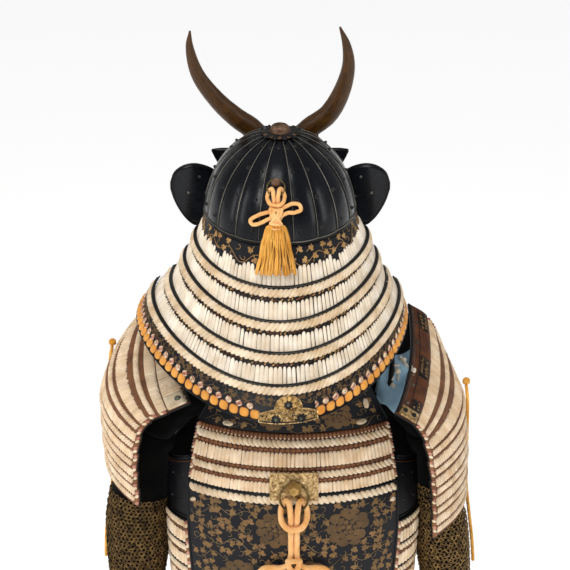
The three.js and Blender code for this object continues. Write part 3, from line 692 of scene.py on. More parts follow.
WHITE = silk("white_lace", "F6EBDA", "DCC9AE")
CREAM = silk("cream_lace", "EFDDBE", "CDB28C")
PANEL_LACE = silk("panel_lace", "F5E0C3", "D8B78F")
ROPE = silk("cream_rope", "F3E0C4", "CDAE86", fibre=0.3)
BROWN = silk("brown_lace", "95633F", "68412A")
DARK = silk("dark_lace", "3A281C", "1E1510")
PINK = silk("pink_lace", "D09A86", "A0604E")
ORANGE = silk("orange_lace", "F2AE54", "CC822E", fibre=0.35)
AMBER = silk("amber_cord", "F8C688", "E09D55", rough=0.72, fibre=0.3)
TASSEL = silk("tassel_silk", "F8BC58", "D08C2A", rough=0.7, fibre=0.3)
LEATHER = leather("dark_leather", "17171D", "0A0B10", 0.5)
TAN_LEATHER = leather("brown_leather", "764526", "482816", 0.48)
STRAP = leather("strap_leather", "191411", "0B0908", 0.5)
PRINT_FILL = leather("print_fill", "705536", "523E26", 0.62, grain=0.06)
PRINT_LEAF = leather("print_leaf", "8C6B44", "6A5132", 0.62, grain=0.06)
PRINT_LINE = leather("print_line", "8C764E", "675438", 0.62, grain=0.06)
PRINT_TAN = leather("print_tan", "BE9763", "8E6A3C", 0.6, grain=0.06)
LACQUER = lacquer("black_lacquer", "0E1016", "05070B", 0.24)
RIM = lacquer("black_rim", "131214", "08090B", 0.32, coat=0.4)
RIB = lacquer("rib_edge", "8A857A", "4E4B44", 0.45, coat=0.2)
GILT = metal("gilt", "EFCF96", "7A5A2C", 0.4, pattern_scale=260, relief=0.2, metallic=0.65)
GILT_OPEN = metal(
    "gilt_open", "CFA866", "6A4C24", 0.42, pattern_scale=420, relief=0.3, metallic=0.65)
BOSS = metal("boss_gilt", "CDA765", "96743C", 0.38, pattern_scale=90, relief=0.03, metallic=0.75)
BRONZE = metal("bronze", "8E6E56", "4C3628", 0.48, pattern_scale=120, relief=0.12, metallic=0.7)
WIRE = metal("wire_brass", "8A7448", "46381F", 0.4, pattern_scale=120, relief=0.05, metallic=0.8)
IRON = metal("dark_iron", "3A3836", "0C0D10", 0.42, pattern_scale=500, relief=0.1, metallic=0.6)
STUD = metal("stud_metal", "7E8172", "3A3D36", 0.5, pattern_scale=140, relief=0.15, metallic=0.5)
RING = metal("mail_ring", "B08C52", "3A2A18", 0.45, pattern_scale=300, relief=0.1, metallic=0.6)
HORN = horn_finish("horn")
BLUE = cloth("blue_cloth", "B4D8EC", "86AFC9", 1.1)
# Dark cloth: partly the cloth's own colour, partly painted shade, where it stands for shaded
# shoulder cloth and fills the gap under the arm.
DARK_CLOTH_AND_SHADE = cloth("dark_cloth", "0C0B0A", "050404", 1.0, sheen=0.03)
BACKING = cloth("mail_backing", "1A130D", "0C0907", 1.2, sheen=0.05)

# ------------------------------------------------------------------ patches laid on surfaces

STRIP_STEPS = 160
STRIP_REACH = 0.02


class Strip:
    """Measures a surface face(a, c, out) along a at one place across, in millimetres."""

    def __init__(self, face, a0, a1, c):
        self.face, self.c = face, c
        self.a = np.linspace(a0, a1, STRIP_STEPS)
        self.run = run_along(face(self.a, np.full(STRIP_STEPS, c), 0))
        self.length = self.run[-1]

    def at(self, s):
        """The place along, from millimetres along."""
        return np.interp(s, self.run, self.a)

    def per_c(self, a):
        """Millimetres across for one unit of c."""
        up = self.face(a, self.c + STRIP_REACH, 0)
        down = self.face(a, self.c - STRIP_REACH, 0)
        return np.linalg.norm(up - down, axis=-1) / (2 * STRIP_REACH)


def shell(build, face, us, vs, outer, inner, mat, inside=None, ringed=False, tone=1.0):
    """Closed wall between two offsets of a surface, with its edges. The finish of its inside and
    edges is that of its outside where none is given."""
    nu, nv = len(us), len(vs)
    u, v = np.meshgrid(us, vs, indexing="ij")
    faces = grid_faces(nu, nv, wrap=ringed)
    sheets = []
    for out in (outer, inner):
        sheets.append(face(u, v, np.full(u.shape, float(out))).reshape(-1, 3))
    a, b, c = (sheets[0][faces[:, k]] for k in (0, 1, 2))
    normal = np.cross(b - a, c - a)
    away = (sheets[0] - sheets[1])[faces[:, 0]]
    flipped = (normal * away).sum() < 0
    grid = sheets[0].reshape(nu, nv, 3)
    run_u, run_v = run_along(grid[:, nv // 2]), run_along(grid[nu // 2])
    weave = np.stack([*np.meshgrid(run_u, run_v, indexing="ij"), 0 * u], axis=-1).reshape(-1, 3)
    n = nu * nv
    rims = []
    steps = np.arange(nu if ringed else nu - 1)
    nxt = (steps + 1) % nu
    for j, turn in ((0, 1), (nv - 1, -1)):
        quad = np.stack([steps * nv + j, steps * nv + j + n, nxt * nv + j + n, nxt * nv + j], 1)
        rims.append(quad[:, ::turn])
    if not ringed:
        for i, turn in ((0, -1), (nu - 1, 1)):
            k = np.arange(nv - 1)
            quad = np.stack([i * nv + k, i * nv + k + n, i * nv + k + 1 + n, i * nv + k + 1], 1)
            rims.append(quad[:, ::turn])
    everything = [faces, faces[:, ::-1] + n, *rims]
    if flipped:
        everything = [f[:, ::-1] for f in everything]
    rest = sum(len(f) for f in everything[1:])
    mats = np.repeat([mat, mat if inside is None else inside], [len(faces), rest])
    build.add(np.vstack(sheets), np.vstack(everything), tone, np.vstack([weave, weave]), mats)


def stamp(build, face, a, c, out, faces, centre_a, centre_c, tone, weave, mat):
    """Adds many copies of a small patch, already placed on a surface, facing outwards."""
    count, n = a.shape[0], a.shape[1]
    points = face(a, c, out)
    middle = face(centre_a, centre_c, np.full(count, -4.0))
    tris = np.stack([points[:, faces[:, k]] for k in (0, 1, 2)], axis=2)
    normal = np.cross(tris[:, :, 1] - tris[:, :, 0], tris[:, :, 2] - tris[:, :, 0])
    away = tris.mean(axis=2) - middle[:, None]
    if (normal * away).sum() < 0:
        faces = faces[:, ::-1]
    every = (faces[None] + (np.arange(count) * n)[:, None, None]).reshape(-1, faces.shape[1])
    build.add(
        points.reshape(-1, 3),
        every,
        np.repeat(tone, n),
        weave.reshape(-1, 3),
        np.repeat(mat, len(faces)),
    )


LACE_ACROSS = np.linspace(-0.5, 0.5, 4)
LACE_DOWN = np.array([0.0, 0.05, 0.16, 0.5, 1.0])
LACE_WIDTH = np.array([0.3, 0.72, 0.96, 1.0, 1.0])
LACE_HEIGHT = np.array([0.1, 0.66, 0.94, 1.0, 0.88])


def laces(build, face, a0, a1, c0, c1, pitch, thick, mat, ragged=0.04, gap=0.0):
    """Row of upright flat laces with round heads, side by side from c0 to c1."""
    strip = Strip(face, a0, a1, (c0 + c1) / 2)
    count = max(1, int(round(strip.length / pitch)))
    step = strip.length / count
    i = np.arange(count)
    s0 = (i + 0.5) * step
    lean = rng.normal(0, 0.05, count) * step
    width = step * (1.1 - gap) * (1 - 0.2 * (rng.random(count) < 0.2))
    head = rng.normal(0, ragged, count)
    rise = thick * rng.uniform(0.82, 1.1, count)
    s = (
        s0[:, None, None]
        + LACE_ACROSS[None, :, None] * width[:, None, None] * LACE_WIDTH[None, None]
        + lean[:, None, None] * LACE_DOWN[None, None]
    )
    t = np.broadcast_to(LACE_DOWN[None, None], s.shape)
    top = c0 + head[:, None, None] * (c1 - c0)
    c = top + t * (c1 - top)
    round_off = (1 - (2 * LACE_ACROSS) ** 4)[None, :, None]
    out = -0.5 + (rise[:, None, None] + 0.5) * round_off * LACE_HEIGHT[None, None]
    out = np.broadcast_to(out, s.shape)
    n = s.shape[1] * s.shape[2]
    weave = np.stack([
        np.broadcast_to(LACE_ACROSS[None, :, None] * step, s.shape) + s0[:, None, None] * 7,
        t * strip.per_c(strip.at(s0))[:, None, None] * abs(c1 - c0),
        0 * s,
    ], axis=-1)
    tone = rng.uniform(0.9, 1.06, count)
    stamp(build, face, strip.at(s).reshape(count, n), c.reshape(count, n), out.reshape(count, n),
          grid_faces(4, 5), strip.at(s0), np.full(count, (c0 + c1) / 2), tone,
          weave.reshape(count, n, 3), np.full(count, mat))


def dome(rings, spokes):
    """Flat disc template: unit x and y of each point, and its triangles."""
    r = np.sin(np.linspace(0, 1, rings + 1)[1:] * math.pi / 2)
    turn = np.arange(spokes) * TAU / spokes
    x = np.concatenate([[0], np.outer(np.cos(turn), r).ravel()])
    y = np.concatenate([[0], np.outer(np.sin(turn), r).ravel()])
    quads = grid_faces(spokes, rings, wrap=True) + 1
    k = np.arange(spokes)
    first = np.stack([0 * k, ((k + 1) % spokes) * rings + 1, k * rings + 1], 1)
    halves = np.vstack([quads[:, [0, 1, 2]], quads[:, [0, 2, 3]]])
    return x, y, np.vstack([first, halves])


DOME = dome(4, 12)
SMALL_DOME = dome(3, 8)
STRAND = dome(3, 10)
PILLOW = dome(4, 16)
TOOTH = dome(2, 6)
PRINT = dome(1, 9)


def domes(build, strip, s0, c0, half_long, half_wide, slant, thick, mat, tone=None,
          template=SMALL_DOME, base=0.0, square=2.0, sink=0.5):
    """Rounded bumps at places s0 along a strip and c0 across: ovals turned by slant."""
    x, y, faces = template
    s0 = np.atleast_1d(np.asarray(s0, float))
    count = len(s0)
    c0 = np.broadcast_to(np.asarray(c0, float), (count,))
    slant = np.broadcast_to(np.asarray(slant, float), (count,))[:, None]
    a0 = strip.at(s0)
    unit = np.maximum(strip.per_c(a0), 1e-6)
    radius = np.hypot(x, y)
    away = np.where(radius > 0, radius, 1)
    cx, cy = np.where(radius > 0, x / away, 1), y / away
    corner = (np.abs(cx) ** square + np.abs(cy) ** square) ** (-1 / square)
    sx, sy = x * corner, y * corner
    long, wide = sx * half_long, sy * half_wide
    along = long * np.cos(slant) - wide * np.sin(slant)
    across = long * np.sin(slant) + wide * np.cos(slant)
    flat = np.maximum(1 - radius**square, 0) ** 0.5
    out = np.broadcast_to(base - sink + (thick + sink) * flat, along.shape)
    tone = rng.uniform(0.9, 1.06, count) if tone is None else np.broadcast_to(tone, (count,))
    weave = np.stack([long + 11 * s0[:, None], np.broadcast_to(wide, along.shape), 0 * along], -1)
    mats = np.broadcast_to(np.asarray(mat, int), (count,))
    a, c = strip.at(s0[:, None] + along), c0[:, None] + across / unit[:, None]
    stamp(build, strip.face, a, c, out, faces, a0, c0, tone, weave, mats)


def studs(build, strip, s0, c0, radius, thick, mat, **more):
    """Round bumps, laid as domes are."""
    domes(build, strip, s0, c0, radius, radius, 0, thick, mat, **more)


def rope(build, face, a0, a1, c, pitch, length, width, thick, slant_deg, mats, base=0.0,
         template=STRAND):
    """Row of slanted strands, of one finish or several by turns: a twisted rope or edge braid."""
    strip = Strip(face, a0, a1, c)
    count = max(1, int(round(strip.length / pitch)))
    s0 = (np.arange(count) + 0.5) * strip.length / count
    slant = rad(slant_deg) + rng.normal(0, 0.05, count)
    mats = np.atleast_1d(mats)
    mat = mats[np.arange(count) % len(mats)]
    domes(build, strip, s0, c, length / 2, width / 2, slant, thick, mat, base=base,
          template=template)


BEAD_CORNERS = 6


def bead(build, face, a0, a1, c, across, thick, mat, base=0.0, steps=120):
    """Smooth raised rim along a surface: an oval section with tapered ends."""
    a = np.linspace(a0, a1, steps)
    strip = Strip(face, a0, a1, c)
    unit = np.maximum(strip.per_c(a), 1e-6)
    taper = np.ones(steps)
    taper[0] = taper[-1] = 0.05
    turns = np.arange(BEAD_CORNERS) * TAU / BEAD_CORNERS
    cc = c + np.outer(np.cos(turns), taper / unit) * across / 2
    out = base + np.outer(np.sin(turns), taper) * thick
    aa = np.broadcast_to(a[None], cc.shape)
    points = face(aa, cc, out)
    middle = face(a, np.full(steps, c), np.full(steps, base))
    middle = np.tile((middle[:-1] + middle[1:]) / 2, (BEAD_CORNERS, 1))
    faces = outward(points, grid_faces(BEAD_CORNERS, steps, wrap=True), middle)
    weave = np.stack([np.broadcast_to(strip.run[-1] * (a - a0) / (a1 - a0), cc.shape),
                      np.broadcast_to(turns[:, None] * across, cc.shape), 0 * cc], -1)
    build.add(points, faces, 1.0, weave, mat)


def turned_face(face):
    """The same surface with its two directions swapped, for rows that run down it."""
    return lambda a, c, out: face(c, a, out)


def ribbon(build, strip, s, across_mm, width, mat, lift=0.35, foot=-0.2):
    """Thin raised line through points (s along the strip, millimetres across from its c)."""
    s, t = np.asarray(s, float), np.asarray(across_mm, float)
    ds, dt = np.gradient(s), np.gradient(t)
    length = np.hypot(ds, dt) + 1e-9
    half = 0.5 * width * np.sin(np.linspace(0.12, math.pi - 0.12, len(s))) ** 0.5
    unit = strip.per_c(strip.at(s))
    k = np.array([-1.0, 0, 1])
    a = strip.at(s[None] - (dt / length * half)[None] * k[:, None])
    c = strip.c + (t[None] + (ds / length * half)[None] * k[:, None]) / unit[None]
    out = np.broadcast_to(np.array([foot, lift, foot])[:, None], a.shape)
    n = a.size
    middle_a, middle_c = strip.at(s).mean(), (strip.c + t / unit).mean()
    weave = np.stack([a * 0 + s[None], c * 0, c * 0], -1)
    stamp(build, strip.face, a.reshape(1, n), c.reshape(1, n), out.reshape(1, n),
          grid_faces(3, len(s)), np.array([middle_a]), np.array([middle_c]), np.ones(1),
          weave.reshape(1, n, 3), np.array([mat]))


PETAL_RINGS = (  # petals, then their distance, half length and half width in flower sizes
    (10, 0.35, 0.17, 0.16), (8, 0.24, 0.14, 0.14), (6, 0.14, 0.11, 0.11), (4, 0.05, 0.08, 0.08),
)


def flower(build, strip, s, size, line):
    """Full-blown flower: rings of lobed petals over a dark edge, with fine veins."""
    unit = strip.per_c(strip.at(s))
    phase = rng.uniform(0, TAU)
    lift = 0.0
    for petals, reach, long, wide in PETAL_RINGS:
        turn = phase + np.arange(petals) * TAU / petals + rng.normal(0, 0.07, petals)
        far = reach * size * rng.uniform(0.92, 1.08, petals)
        tone = rng.uniform(0.82, 1.1, petals)
        phase += 0.35
        for mat, share, more, thin in (
                (LEATHER, 1.12, 0.1, 1), (PRINT_FILL, 1.0, 0.1, 1), (line, 0.6, 0.07, 0.12)):
            lift += more
            domes(build, strip, s + far * np.cos(turn), strip.c + far * np.sin(turn) / unit,
                  long * size * share, wide * size * share * thin, turn, lift, mat, tone=tone,
                  template=PRINT, sink=0.15)
    studs(build, strip, s, strip.c, 0.045 * size, lift + 0.1, line, template=PRINT, sink=0.1)


LEAF_PARTS = (  # turn, distance, half length and half width, as shares of the leaf's size
    (0.0, 0.26, 0.3, 0.19), (1.2, 0.22, 0.25, 0.18), (-1.2, 0.22, 0.25, 0.18),
    (2.7, 0.36, 0.3, 0.05), (0.55, 0.5, 0.16, 0.08),
)


def leaves(build, strip, s, size, turn, mat):
    """Three-lobed leaves with a bent stalk, one for each place."""
    unit = strip.per_c(strip.at(s))
    for k, (swing, far, long, wide) in enumerate(LEAF_PARTS):
        way = turn + swing
        domes(build, strip, s + far * size * np.cos(way), strip.c + far * size * np.sin(way) / unit,
              size * long, size * wide, way + (0.5 if k > 2 else 0), 0.3 + 0.02 * k, mat,
              template=PRINT, sink=0.12)


def scroll(build, strip, s, size, turn, mat, width, way, lift=0.35, foot=-0.2):
    """Spiral tendril that starts at its tip."""
    t = np.linspace(0, 1, 24)
    r = size * (0.12 + 0.88 * t)
    swing = turn + way * 4.4 * (1 - t)
    ribbon(build, strip, s + r * np.cos(swing), r * np.sin(swing), width, mat, lift, foot)


def printed(build, face, a0, a1, c0, c1, size, leaf, line=PRINT_LINE, leaf_mat=PRINT_LEAF,
            flowers=True, dense=1.0):
    """Flowers among leaves, curls and long vines that fill a stretch of leather. size is that of
    a flower and leaf that of a leaf."""
    middle = Strip(face, a0, a1, (c0 + c1) / 2)
    tall = middle.per_c(middle.at(middle.length / 2)) * abs(c1 - c0)
    blooms = []
    rows = max(1, int(round(tall / (size * 1.25)))) if flowers else 0
    for row in range(rows):
        strip = Strip(face, a0, a1, lerp(c0, c1, (row + 0.5) / rows))
        count = max(1, int(round(strip.length / (size * 1.75))))
        shift = 0.25 if row % 2 else 0.75
        for k in range(count):
            s = (k + shift) / count * strip.length + rng.normal(0, 0.05) * size
            if not 0.5 * size < s < strip.length - 0.5 * size:
                continue
            unit = strip.per_c(strip.at(s))
            grown = size * rng.uniform(0.84, 1.0)
            flower(build, strip, s, grown, line)
            blooms.append((s / strip.length, (strip.c - min(c0, c1)) * unit, grown * 0.53))

    def free(strip, s, down):
        clear = (s > leaf * 0.45) & (s < strip.length - leaf * 0.45)
        for where, deep, away in blooms:
            clear &= np.hypot(s - where * strip.length, down - deep) > away
        return clear

    across = max(1, int(round(tall / (leaf * 0.98))))
    for row in range(across):
        strip = Strip(face, a0, a1, lerp(c0, c1, (row + 0.5) / across))
        unit = strip.per_c(strip.at(strip.length / 2))
        down = (strip.c - min(c0, c1)) * unit
        n = max(1, int(strip.length / (leaf * 1.12) * dense))
        s = (np.arange(n) + rng.uniform(0.2, 0.8, n)) / n * strip.length
        s = s[free(strip, s, down)]
        if not len(s):
            continue
        turn = rng.uniform(0, TAU, len(s))
        curled = rng.random(len(s)) < 0.22
        grown = leaf * rng.uniform(0.8, 1.1)
        leaves(build, strip, s[~curled], grown, turn[~curled], leaf_mat)
        for k in np.flatnonzero(curled):
            scroll(build, strip, s[k], leaf * 0.5, turn[k], line, leaf * 0.07, rng.choice([-1, 1]))
        if row % 2:
            t = np.linspace(0.01, 0.99, int(strip.length / 4))
            sway = 0.5 * leaf * np.sin(t * strip.length / leaf * 1.7 + row) + 0.2 * leaf * np.sin(
                t * strip.length / leaf * 0.9)
            inside = free(strip, t * strip.length, down)
            for run in np.split(np.arange(len(t)), np.flatnonzero(~inside)):
                if len(run) > 4:
                    ribbon(build, strip, t[run[1:]] * strip.length, sway[run[1:]], leaf * 0.07,
                           line)


def crossed(build, face, a0, a1, c, pitch, size, thick):
    """Row of small round knots, between the tabs under them: pads, pink and cream by turns, with
    two narrow straps over them and a dark middle."""
    strip = Strip(face, a0, a1, c)
    count = max(1, int(round(strip.length / pitch)))
    s0 = (np.arange(count) + 0.98) * strip.length / count
    unit = strip.per_c(strip.at(s0))
    odd = np.arange(count) % 2 == 1
    way = np.where(odd, rad(32), rad(-32))
    domes(build, strip, s0, c, size * 0.56, size * 0.5, 0, thick * 0.4, DARK)
    domes(build, strip, s0, c, size * 0.44, size * 0.4, 0, thick, np.where(odd, PINK, CREAM),
          template=STRAND)
    for shift in (-0.24, 0.24):
        domes(build, strip, s0 - shift * size * np.sin(way), c + shift * size * np.cos(way) / unit,
              size * 0.38, size * 0.09, way, thick + 0.5, np.where(odd, CREAM, PINK))
    domes(build, strip, s0, c, size * 0.22, size * 0.08, way, thick + 0.8, DARK, template=TOOTH)


def pillows(build, face, a0, a1, c, pitch, wide, tall, thick):
    """Row of padded silk tabs, ridged up and down."""
    strip = Strip(face, a0, a1, c)
    count = max(1, int(round(strip.length / pitch)))
    s0 = (np.arange(count) + 0.5) * strip.length / count
    # Painted shade: a slightly larger brown pad under each tab darkens its edge and the gaps
    # between tabs.
    domes(build, strip, s0, c, wide / 2 + 0.9, tall / 2 + 0.9, 0, thick * 0.3, BROWN, square=3.0)
    domes(build, strip, s0, c, wide / 2, tall / 2, 0, thick, ORANGE, square=3.0, template=PILLOW)
    for k in (-0.6, -0.2, 0.2, 0.6):
        high = thick * (1 - abs(k) ** 3) ** 0.5
        domes(build, strip, s0 + k * wide / 2, c, tall * 0.42, 0.34, math.pi / 2, high + 0.35,
              AMBER, template=TOOTH)


def edge_tube(build, face, us, vs, out, radius, mat):
    """Round rim along a line of surface points."""
    path = face(np.asarray(us, float), np.asarray(vs, float), np.full(len(us), float(out)))
    tube(build, path, radius, 8, 1.0, mat)


# ------------------------------------------------------------------ free cords


def at_world(points, centre, sx):
    """Route points given from a centre, put in place; sx of -1 mirrors them."""
    p = np.array(points, float)
    p[:, 0] *= sx
    return p + np.array(centre, float)


BACK_X, HELM_X = -1.4, 5.6  # x of the bow on the back, and of the helmet's from its centre
BACK_CORD_ROUTE = [
    [0, 160.5, -238], [5, 160.5, -237.8], [11, 160, -235.5], [18, 157, -227],
    [20.5, 151.5, -215], [18.6, 148.8, -203], [13, 149.1, -194], [8.5, 156, -192.5],
    [6.2, 162.5, -200], [5.2, 162.8, -210], [4.8, 158.5, -221], [4.7, 152.5, -231],
    [4.7, 147.5, -243], [4.7, 145.5, -262], [4.8, 145.3, -290], [8.5, 145.5, -305],
    [20, 145.5, -312], [36, 145.8, -311], [49, 146, -314], [55, 146, -323], [48, 146, -332],
    [34, 145.8, -334], [20, 145.5, -331], [10.5, 145.5, -335], [7.8, 145.8, -347],
    [9, 146.5, -365], [12.6, 151, -383], [13.8, 155.5, -402],
]
HELM_HITCH = [
    [0, 134.2, 50], [3.5, 134.1, 50.3], [7, 133.4, 51.6], [11, 129.4, 55], [12.6, 122.3, 60],
    [10.6, 116.4, 66.5], [6.8, 118.2, 71.2], [4.6, 123.8, 70.4], [3.5, 128.4, 64.5],
    [3, 129.4, 58], [2.9, 128.4, 51.5], [2.9, 129.8, 45],
]
HELM_LOOPS = dict(
    left=[
        [8, 132.3, 40.5], [18, 133.3, 38.5], [29, 134.8, 34.5], [37.5, 136.3, 28.5],
        [34, 137.3, 22.5], [23, 137.3, 24.5], [12, 136.8, 30], [5.5, 136.8, 30.5],
        [3.4, 137.4, 24.5],
    ],
    right=[
        [6.5, 130.8, 44], [15, 130.8, 48.5], [26, 130.4, 52.5], [35, 131.4, 50],
        [36, 132.8, 43.5], [28, 134.1, 40], [16, 135, 39.2], [7, 136.4, 33.5], [3.4, 137.4, 24.5],
    ],
)
SODE_CORDS = dict(
    left=dict(
        knot=[289, -70, -21],
        route=[
            [289.3, -70, -27.6], [293, -70, -45], [294.5, -70, -90], [294, -68, -135],
            [291.5, -62, -185], [292, -50, -235], [298, -35, -285], [304, -22, -330],
            [306, -18, -378],
        ],
    ),
    right=dict(
        knot=[277.5, -40, -76],
        route=[
            [277.7, -40, -82.6], [280.5, -40, -108], [281.5, -40, -150], [281.5, -38, -200],
            [282, -34, -250], [287.5, -26, -300], [293, -18, -345], [296, -12, -384],
        ],
    ),
)
# Diameters of the three kinds of cord: on the back, on the helmet, on the shoulder guards.
BACK_CORD, HELM_CORD, SODE_CORD = 9.2, 6.0, 5.6


def free_cord(name, route, diameter, body, relief, node, mat=AMBER):
    """Piece and path of one cord; its grooves are made up for by a slightly larger radius."""
    build = Build()
    path = smooth_path(route, diameter * 0.22)
    tube(build, path, diameter / 2 * 1.03, 16, 1.0, mat, relief)
    return build.make(name, [node], body), path


def declare_cord(piece, path, diameter, with_pieces):
    path_length(path) * MM


free_cords = {}
for side, sx in SIDES:
    free_cords["back", side] = free_cord(
        f"dressed_back_cord_{side}", at_world(BACK_CORD_ROUTE, (BACK_X, 0, 0), sx), BACK_CORD,
        "back_bow", twist(4, 22, 0.12), f"back_cord_{side}")
    bow_route = at_world(HELM_HITCH + HELM_LOOPS[side], HELMET + [HELM_X, 0, 0], sx)
    free_cords["bow", side] = free_cord(
        f"dressed_bow_cord_{side}", bow_route, HELM_CORD, "helmet_bow", twist(3, 11, 0.14),
        f"bow_cord_{side}")
    free_cords["sode", side] = free_cord(
        f"dressed_shoulder_cord_{side}", at_world(SODE_CORDS[side]["route"], (0, 0, 0), sx),
        SODE_CORD, "root", twist(3, 12, 0.14), f"shoulder_cord_{side}", TASSEL)


def strands(build, top, head, length, profile, count, radius, flat, lean_deg, mat, twist_turns,
            rise=0.0, collars=3):
    """Tassel: twisted threads in two layers, from a bound head down along a profile of
    (fraction, radius), pressed flat and leaning out."""
    lean = rad(lean_deg)
    f0 = np.concatenate([np.linspace(0, 0.12, 5)[:-1], np.linspace(0.12, 1, 11)])
    for layer, share in ((1.0, 0.6), (0.62, 0.4)):
        n = int(count * share)
        for k in range(n):
            turn = (k + rng.uniform(-0.3, 0.3)) * TAU / n
            f = f0 * rng.uniform(0.92, 1.0)
            r = np.interp(f, [p[0] for p in profile], [p[1] for p in profile]) * layer
            wave = rng.uniform(0.4, 1.0) * np.sin(f * rng.uniform(9, 16) + rng.uniform(0, TAU))
            swing = turn + rng.normal(0, 0.1) * f
            x, y = r * np.cos(swing) + wave, r * flat * np.sin(swing)
            z = -length * f + rise * np.sin(math.pi * np.clip(f / 0.13, 0, 1))
            y, z = y * math.cos(lean) - z * math.sin(lean), y * math.sin(lean) + z * math.cos(lean)
            path = np.stack([x, y, z], 1) + top
            tube(build, path, radius * rng.uniform(0.88, 1.12), 5, rng.uniform(0.76, 1.1), mat,
                 twist(2, twist_turns, 0.28))
    collar = np.array(top) + [0, 0, -2]
    for k in range(collars):
        ring_of(build, collar + [0, 0, -2.4 * k], head * 1.08, 1.4, [1, 0, 0], [0, 1, 0], AMBER)


def ring_of(build, centre, radius, wire, one, two, mat, corners=10, steps=48):
    """Closed ring of round wire in the plane of two directions."""
    one, two = np.array(one, float), np.array(two, float)
    normal = np.cross(one, two)
    turns = np.arange(steps) * TAU / steps
    ring = np.cos(turns)[:, None] * one + np.sin(turns)[:, None] * two
    around = np.arange(corners) * TAU / corners
    points = (
        np.array(centre) + ring[None] * (radius + wire * np.cos(around)[:, None, None])
        + normal * (wire * np.sin(around)[:, None, None])
    )
    i, j = np.meshgrid(np.arange(corners), np.arange(steps), indexing="ij")
    up, on = (i + 1) % corners, (j + 1) % steps
    faces = np.stack([i * steps + j, up * steps + j, up * steps + on, i * steps + on], -1)
    faces = faces.reshape(-1, 4)
    middle = np.broadcast_to((np.array(centre) + ring * radius)[None], points.shape).reshape(-1, 3)
    faces = outward(points, faces, middle[faces].mean(axis=1))
    build.add(points, faces, 1.0, None, mat)


# Bow on the helmet: knot over the crossing, and tassel under it.
HELM_KNOT = dict(y_top=135, y_bottom=142.2, z_top=48, z_bottom=23)
build = Build()
top = HELMET + [HELM_X, HELM_KNOT["y_top"] + 3.4, HELM_KNOT["z_top"] - 1]
low = HELMET + [HELM_X, HELM_KNOT["y_bottom"] + 2.4, HELM_KNOT["z_bottom"] + 1]
for s in (-1, 1):
    for side_step, out in ((0, 2.6), (4.6, 1.2)):
        bent = [lerp(top, low, 0.02) + [s * (4.2 + side_step), -2.0, 0],
                lerp(top, low, 0.34) + [s * (2.2 + side_step), out + 0.5 * s, 0],
                lerp(top, low, 0.66) + [-s * (4.0 - side_step), out - 0.5 * s, 0],
                lerp(top, low, 0.98) + [-s * (7.6 - side_step), -2.0, 0]]
        tube(build, smooth_path(bent, 1.1), 2.5, 12, 1.0, AMBER, twist(3, 12, 0.16))
for t, tilt in ((0.06, 1.4), (0.5, -1.2), (0.95, 1.0)):
    middle = lerp(top, low, t)
    bar = [middle + [-8.4, -3.4, -tilt], middle + [-4.4, 0.8, -tilt / 2],
           middle + [4.4, 1.0, tilt / 2], middle + [8.4, -3.4, tilt]]
    tube(build, smooth_path(bar, 1.1), 2.5, 12, 0.97, AMBER, twist(3, 12, 0.16))
bow_knot = build.make("dressed_bow_knot", ["bow_knot"], "helmet_bow")

build = Build()
strands(build, HELMET + [HELM_X, 140.4, 20.0], 6.5, 72,
        [(0, 3), (0.03, 7), (0.08, 13), (0.14, 17.5), (0.3, 20), (0.6, 24), (0.85, 28), (1, 29.5)],
        90, 1.3, 0.3, 15, TASSEL, 5, rise=6, collars=1)
bow_tassel = build.make("dressed_bow_tassel", ["bow_tassel"], "helmet_bow")

# Bow on the back: large knot between the side loops, and two tassels.
build = Build()
knot_top = np.array([BACK_X, 155.5, -294.0])
knot_low = np.array([BACK_X, 155.5, -335.0])
for s in (-1, 1):
    bent = [knot_top + [s * 8, -3, 1], lerp(knot_top, knot_low, 0.24) + [s * 7.5, 1.5 + s, 0],
            lerp(knot_top, knot_low, 0.5) + [0, 2.4 + s * 1.4, 0],
            lerp(knot_top, knot_low, 0.76) + [-s * 7.5, 1.5 + s, 0], knot_low + [-s * 8, -3, -1]]
    tube(build, smooth_path(bent, 1.4), 4.7, 16, 1.0, AMBER, twist(4, 20, 0.14))
for t, bow in ((0.06, 1), (0.94, -1)):
    middle = lerp(knot_top, knot_low, t)
    bar = [middle + [-10.5, -5.5, -2 * bow], middle + [-6, -0.6, bow], middle + [0, 0.8, 2 * bow],
           middle + [6, -0.6, bow], middle + [10.5, -5.5, -2 * bow]]
    tube(build, smooth_path(bar, 1.4), 4.4, 16, 0.98, AMBER, twist(4, 20, 0.14))
back_knot = build.make("dressed_back_knot", ["back_knot"], "back_bow")

back_tassels = {}
for side, sx in SIDES:
    build = Build()
    strands(build, np.array([BACK_X + sx * 13.8, 156.5, -403.5]), 7.2, 76,
            [(0, 4), (0.05, 8), (0.3, 9.5), (1, 11.8)], 34, 1.5, 0.85, 0, TASSEL, 7)
    back_tassels[side] = build.make(
        f"dressed_back_tassel_{side}", [f"back_tassel_{side}"], "back_bow")

cord_knots = {}
for side, sx in SIDES:
    build = Build()
    centre = np.array(SODE_CORDS[side]["knot"], float) * [sx, 1, 1]
    for tilt in (-0.5, 0.5):
        ring_of(build, centre, 3.6, 3.0, [math.cos(tilt), 0, math.sin(tilt)], [0, 1, 0], TASSEL)
    ring_of(build, centre + [0, 0, 4.2], 2.2, 1.8, [1, 0, 0], [0, 1, 0], TASSEL)
    cord_knots[side] = build.make(
        f"dressed_shoulder_knot_{side}", [f"shoulder_cord_knot_{side}"])
    declare_cord(*free_cords["back", side], BACK_CORD,
                 [back_tassels[side]] + ([back_knot] if sx > 0 else []))
    declare_cord(*free_cords["bow", side], HELM_CORD, [bow_knot if sx > 0 else bow_tassel])
    declare_cord(*free_cords["sode", side], SODE_CORD, [cord_knots[side]])

# ------------------------------------------------------------------ helmet

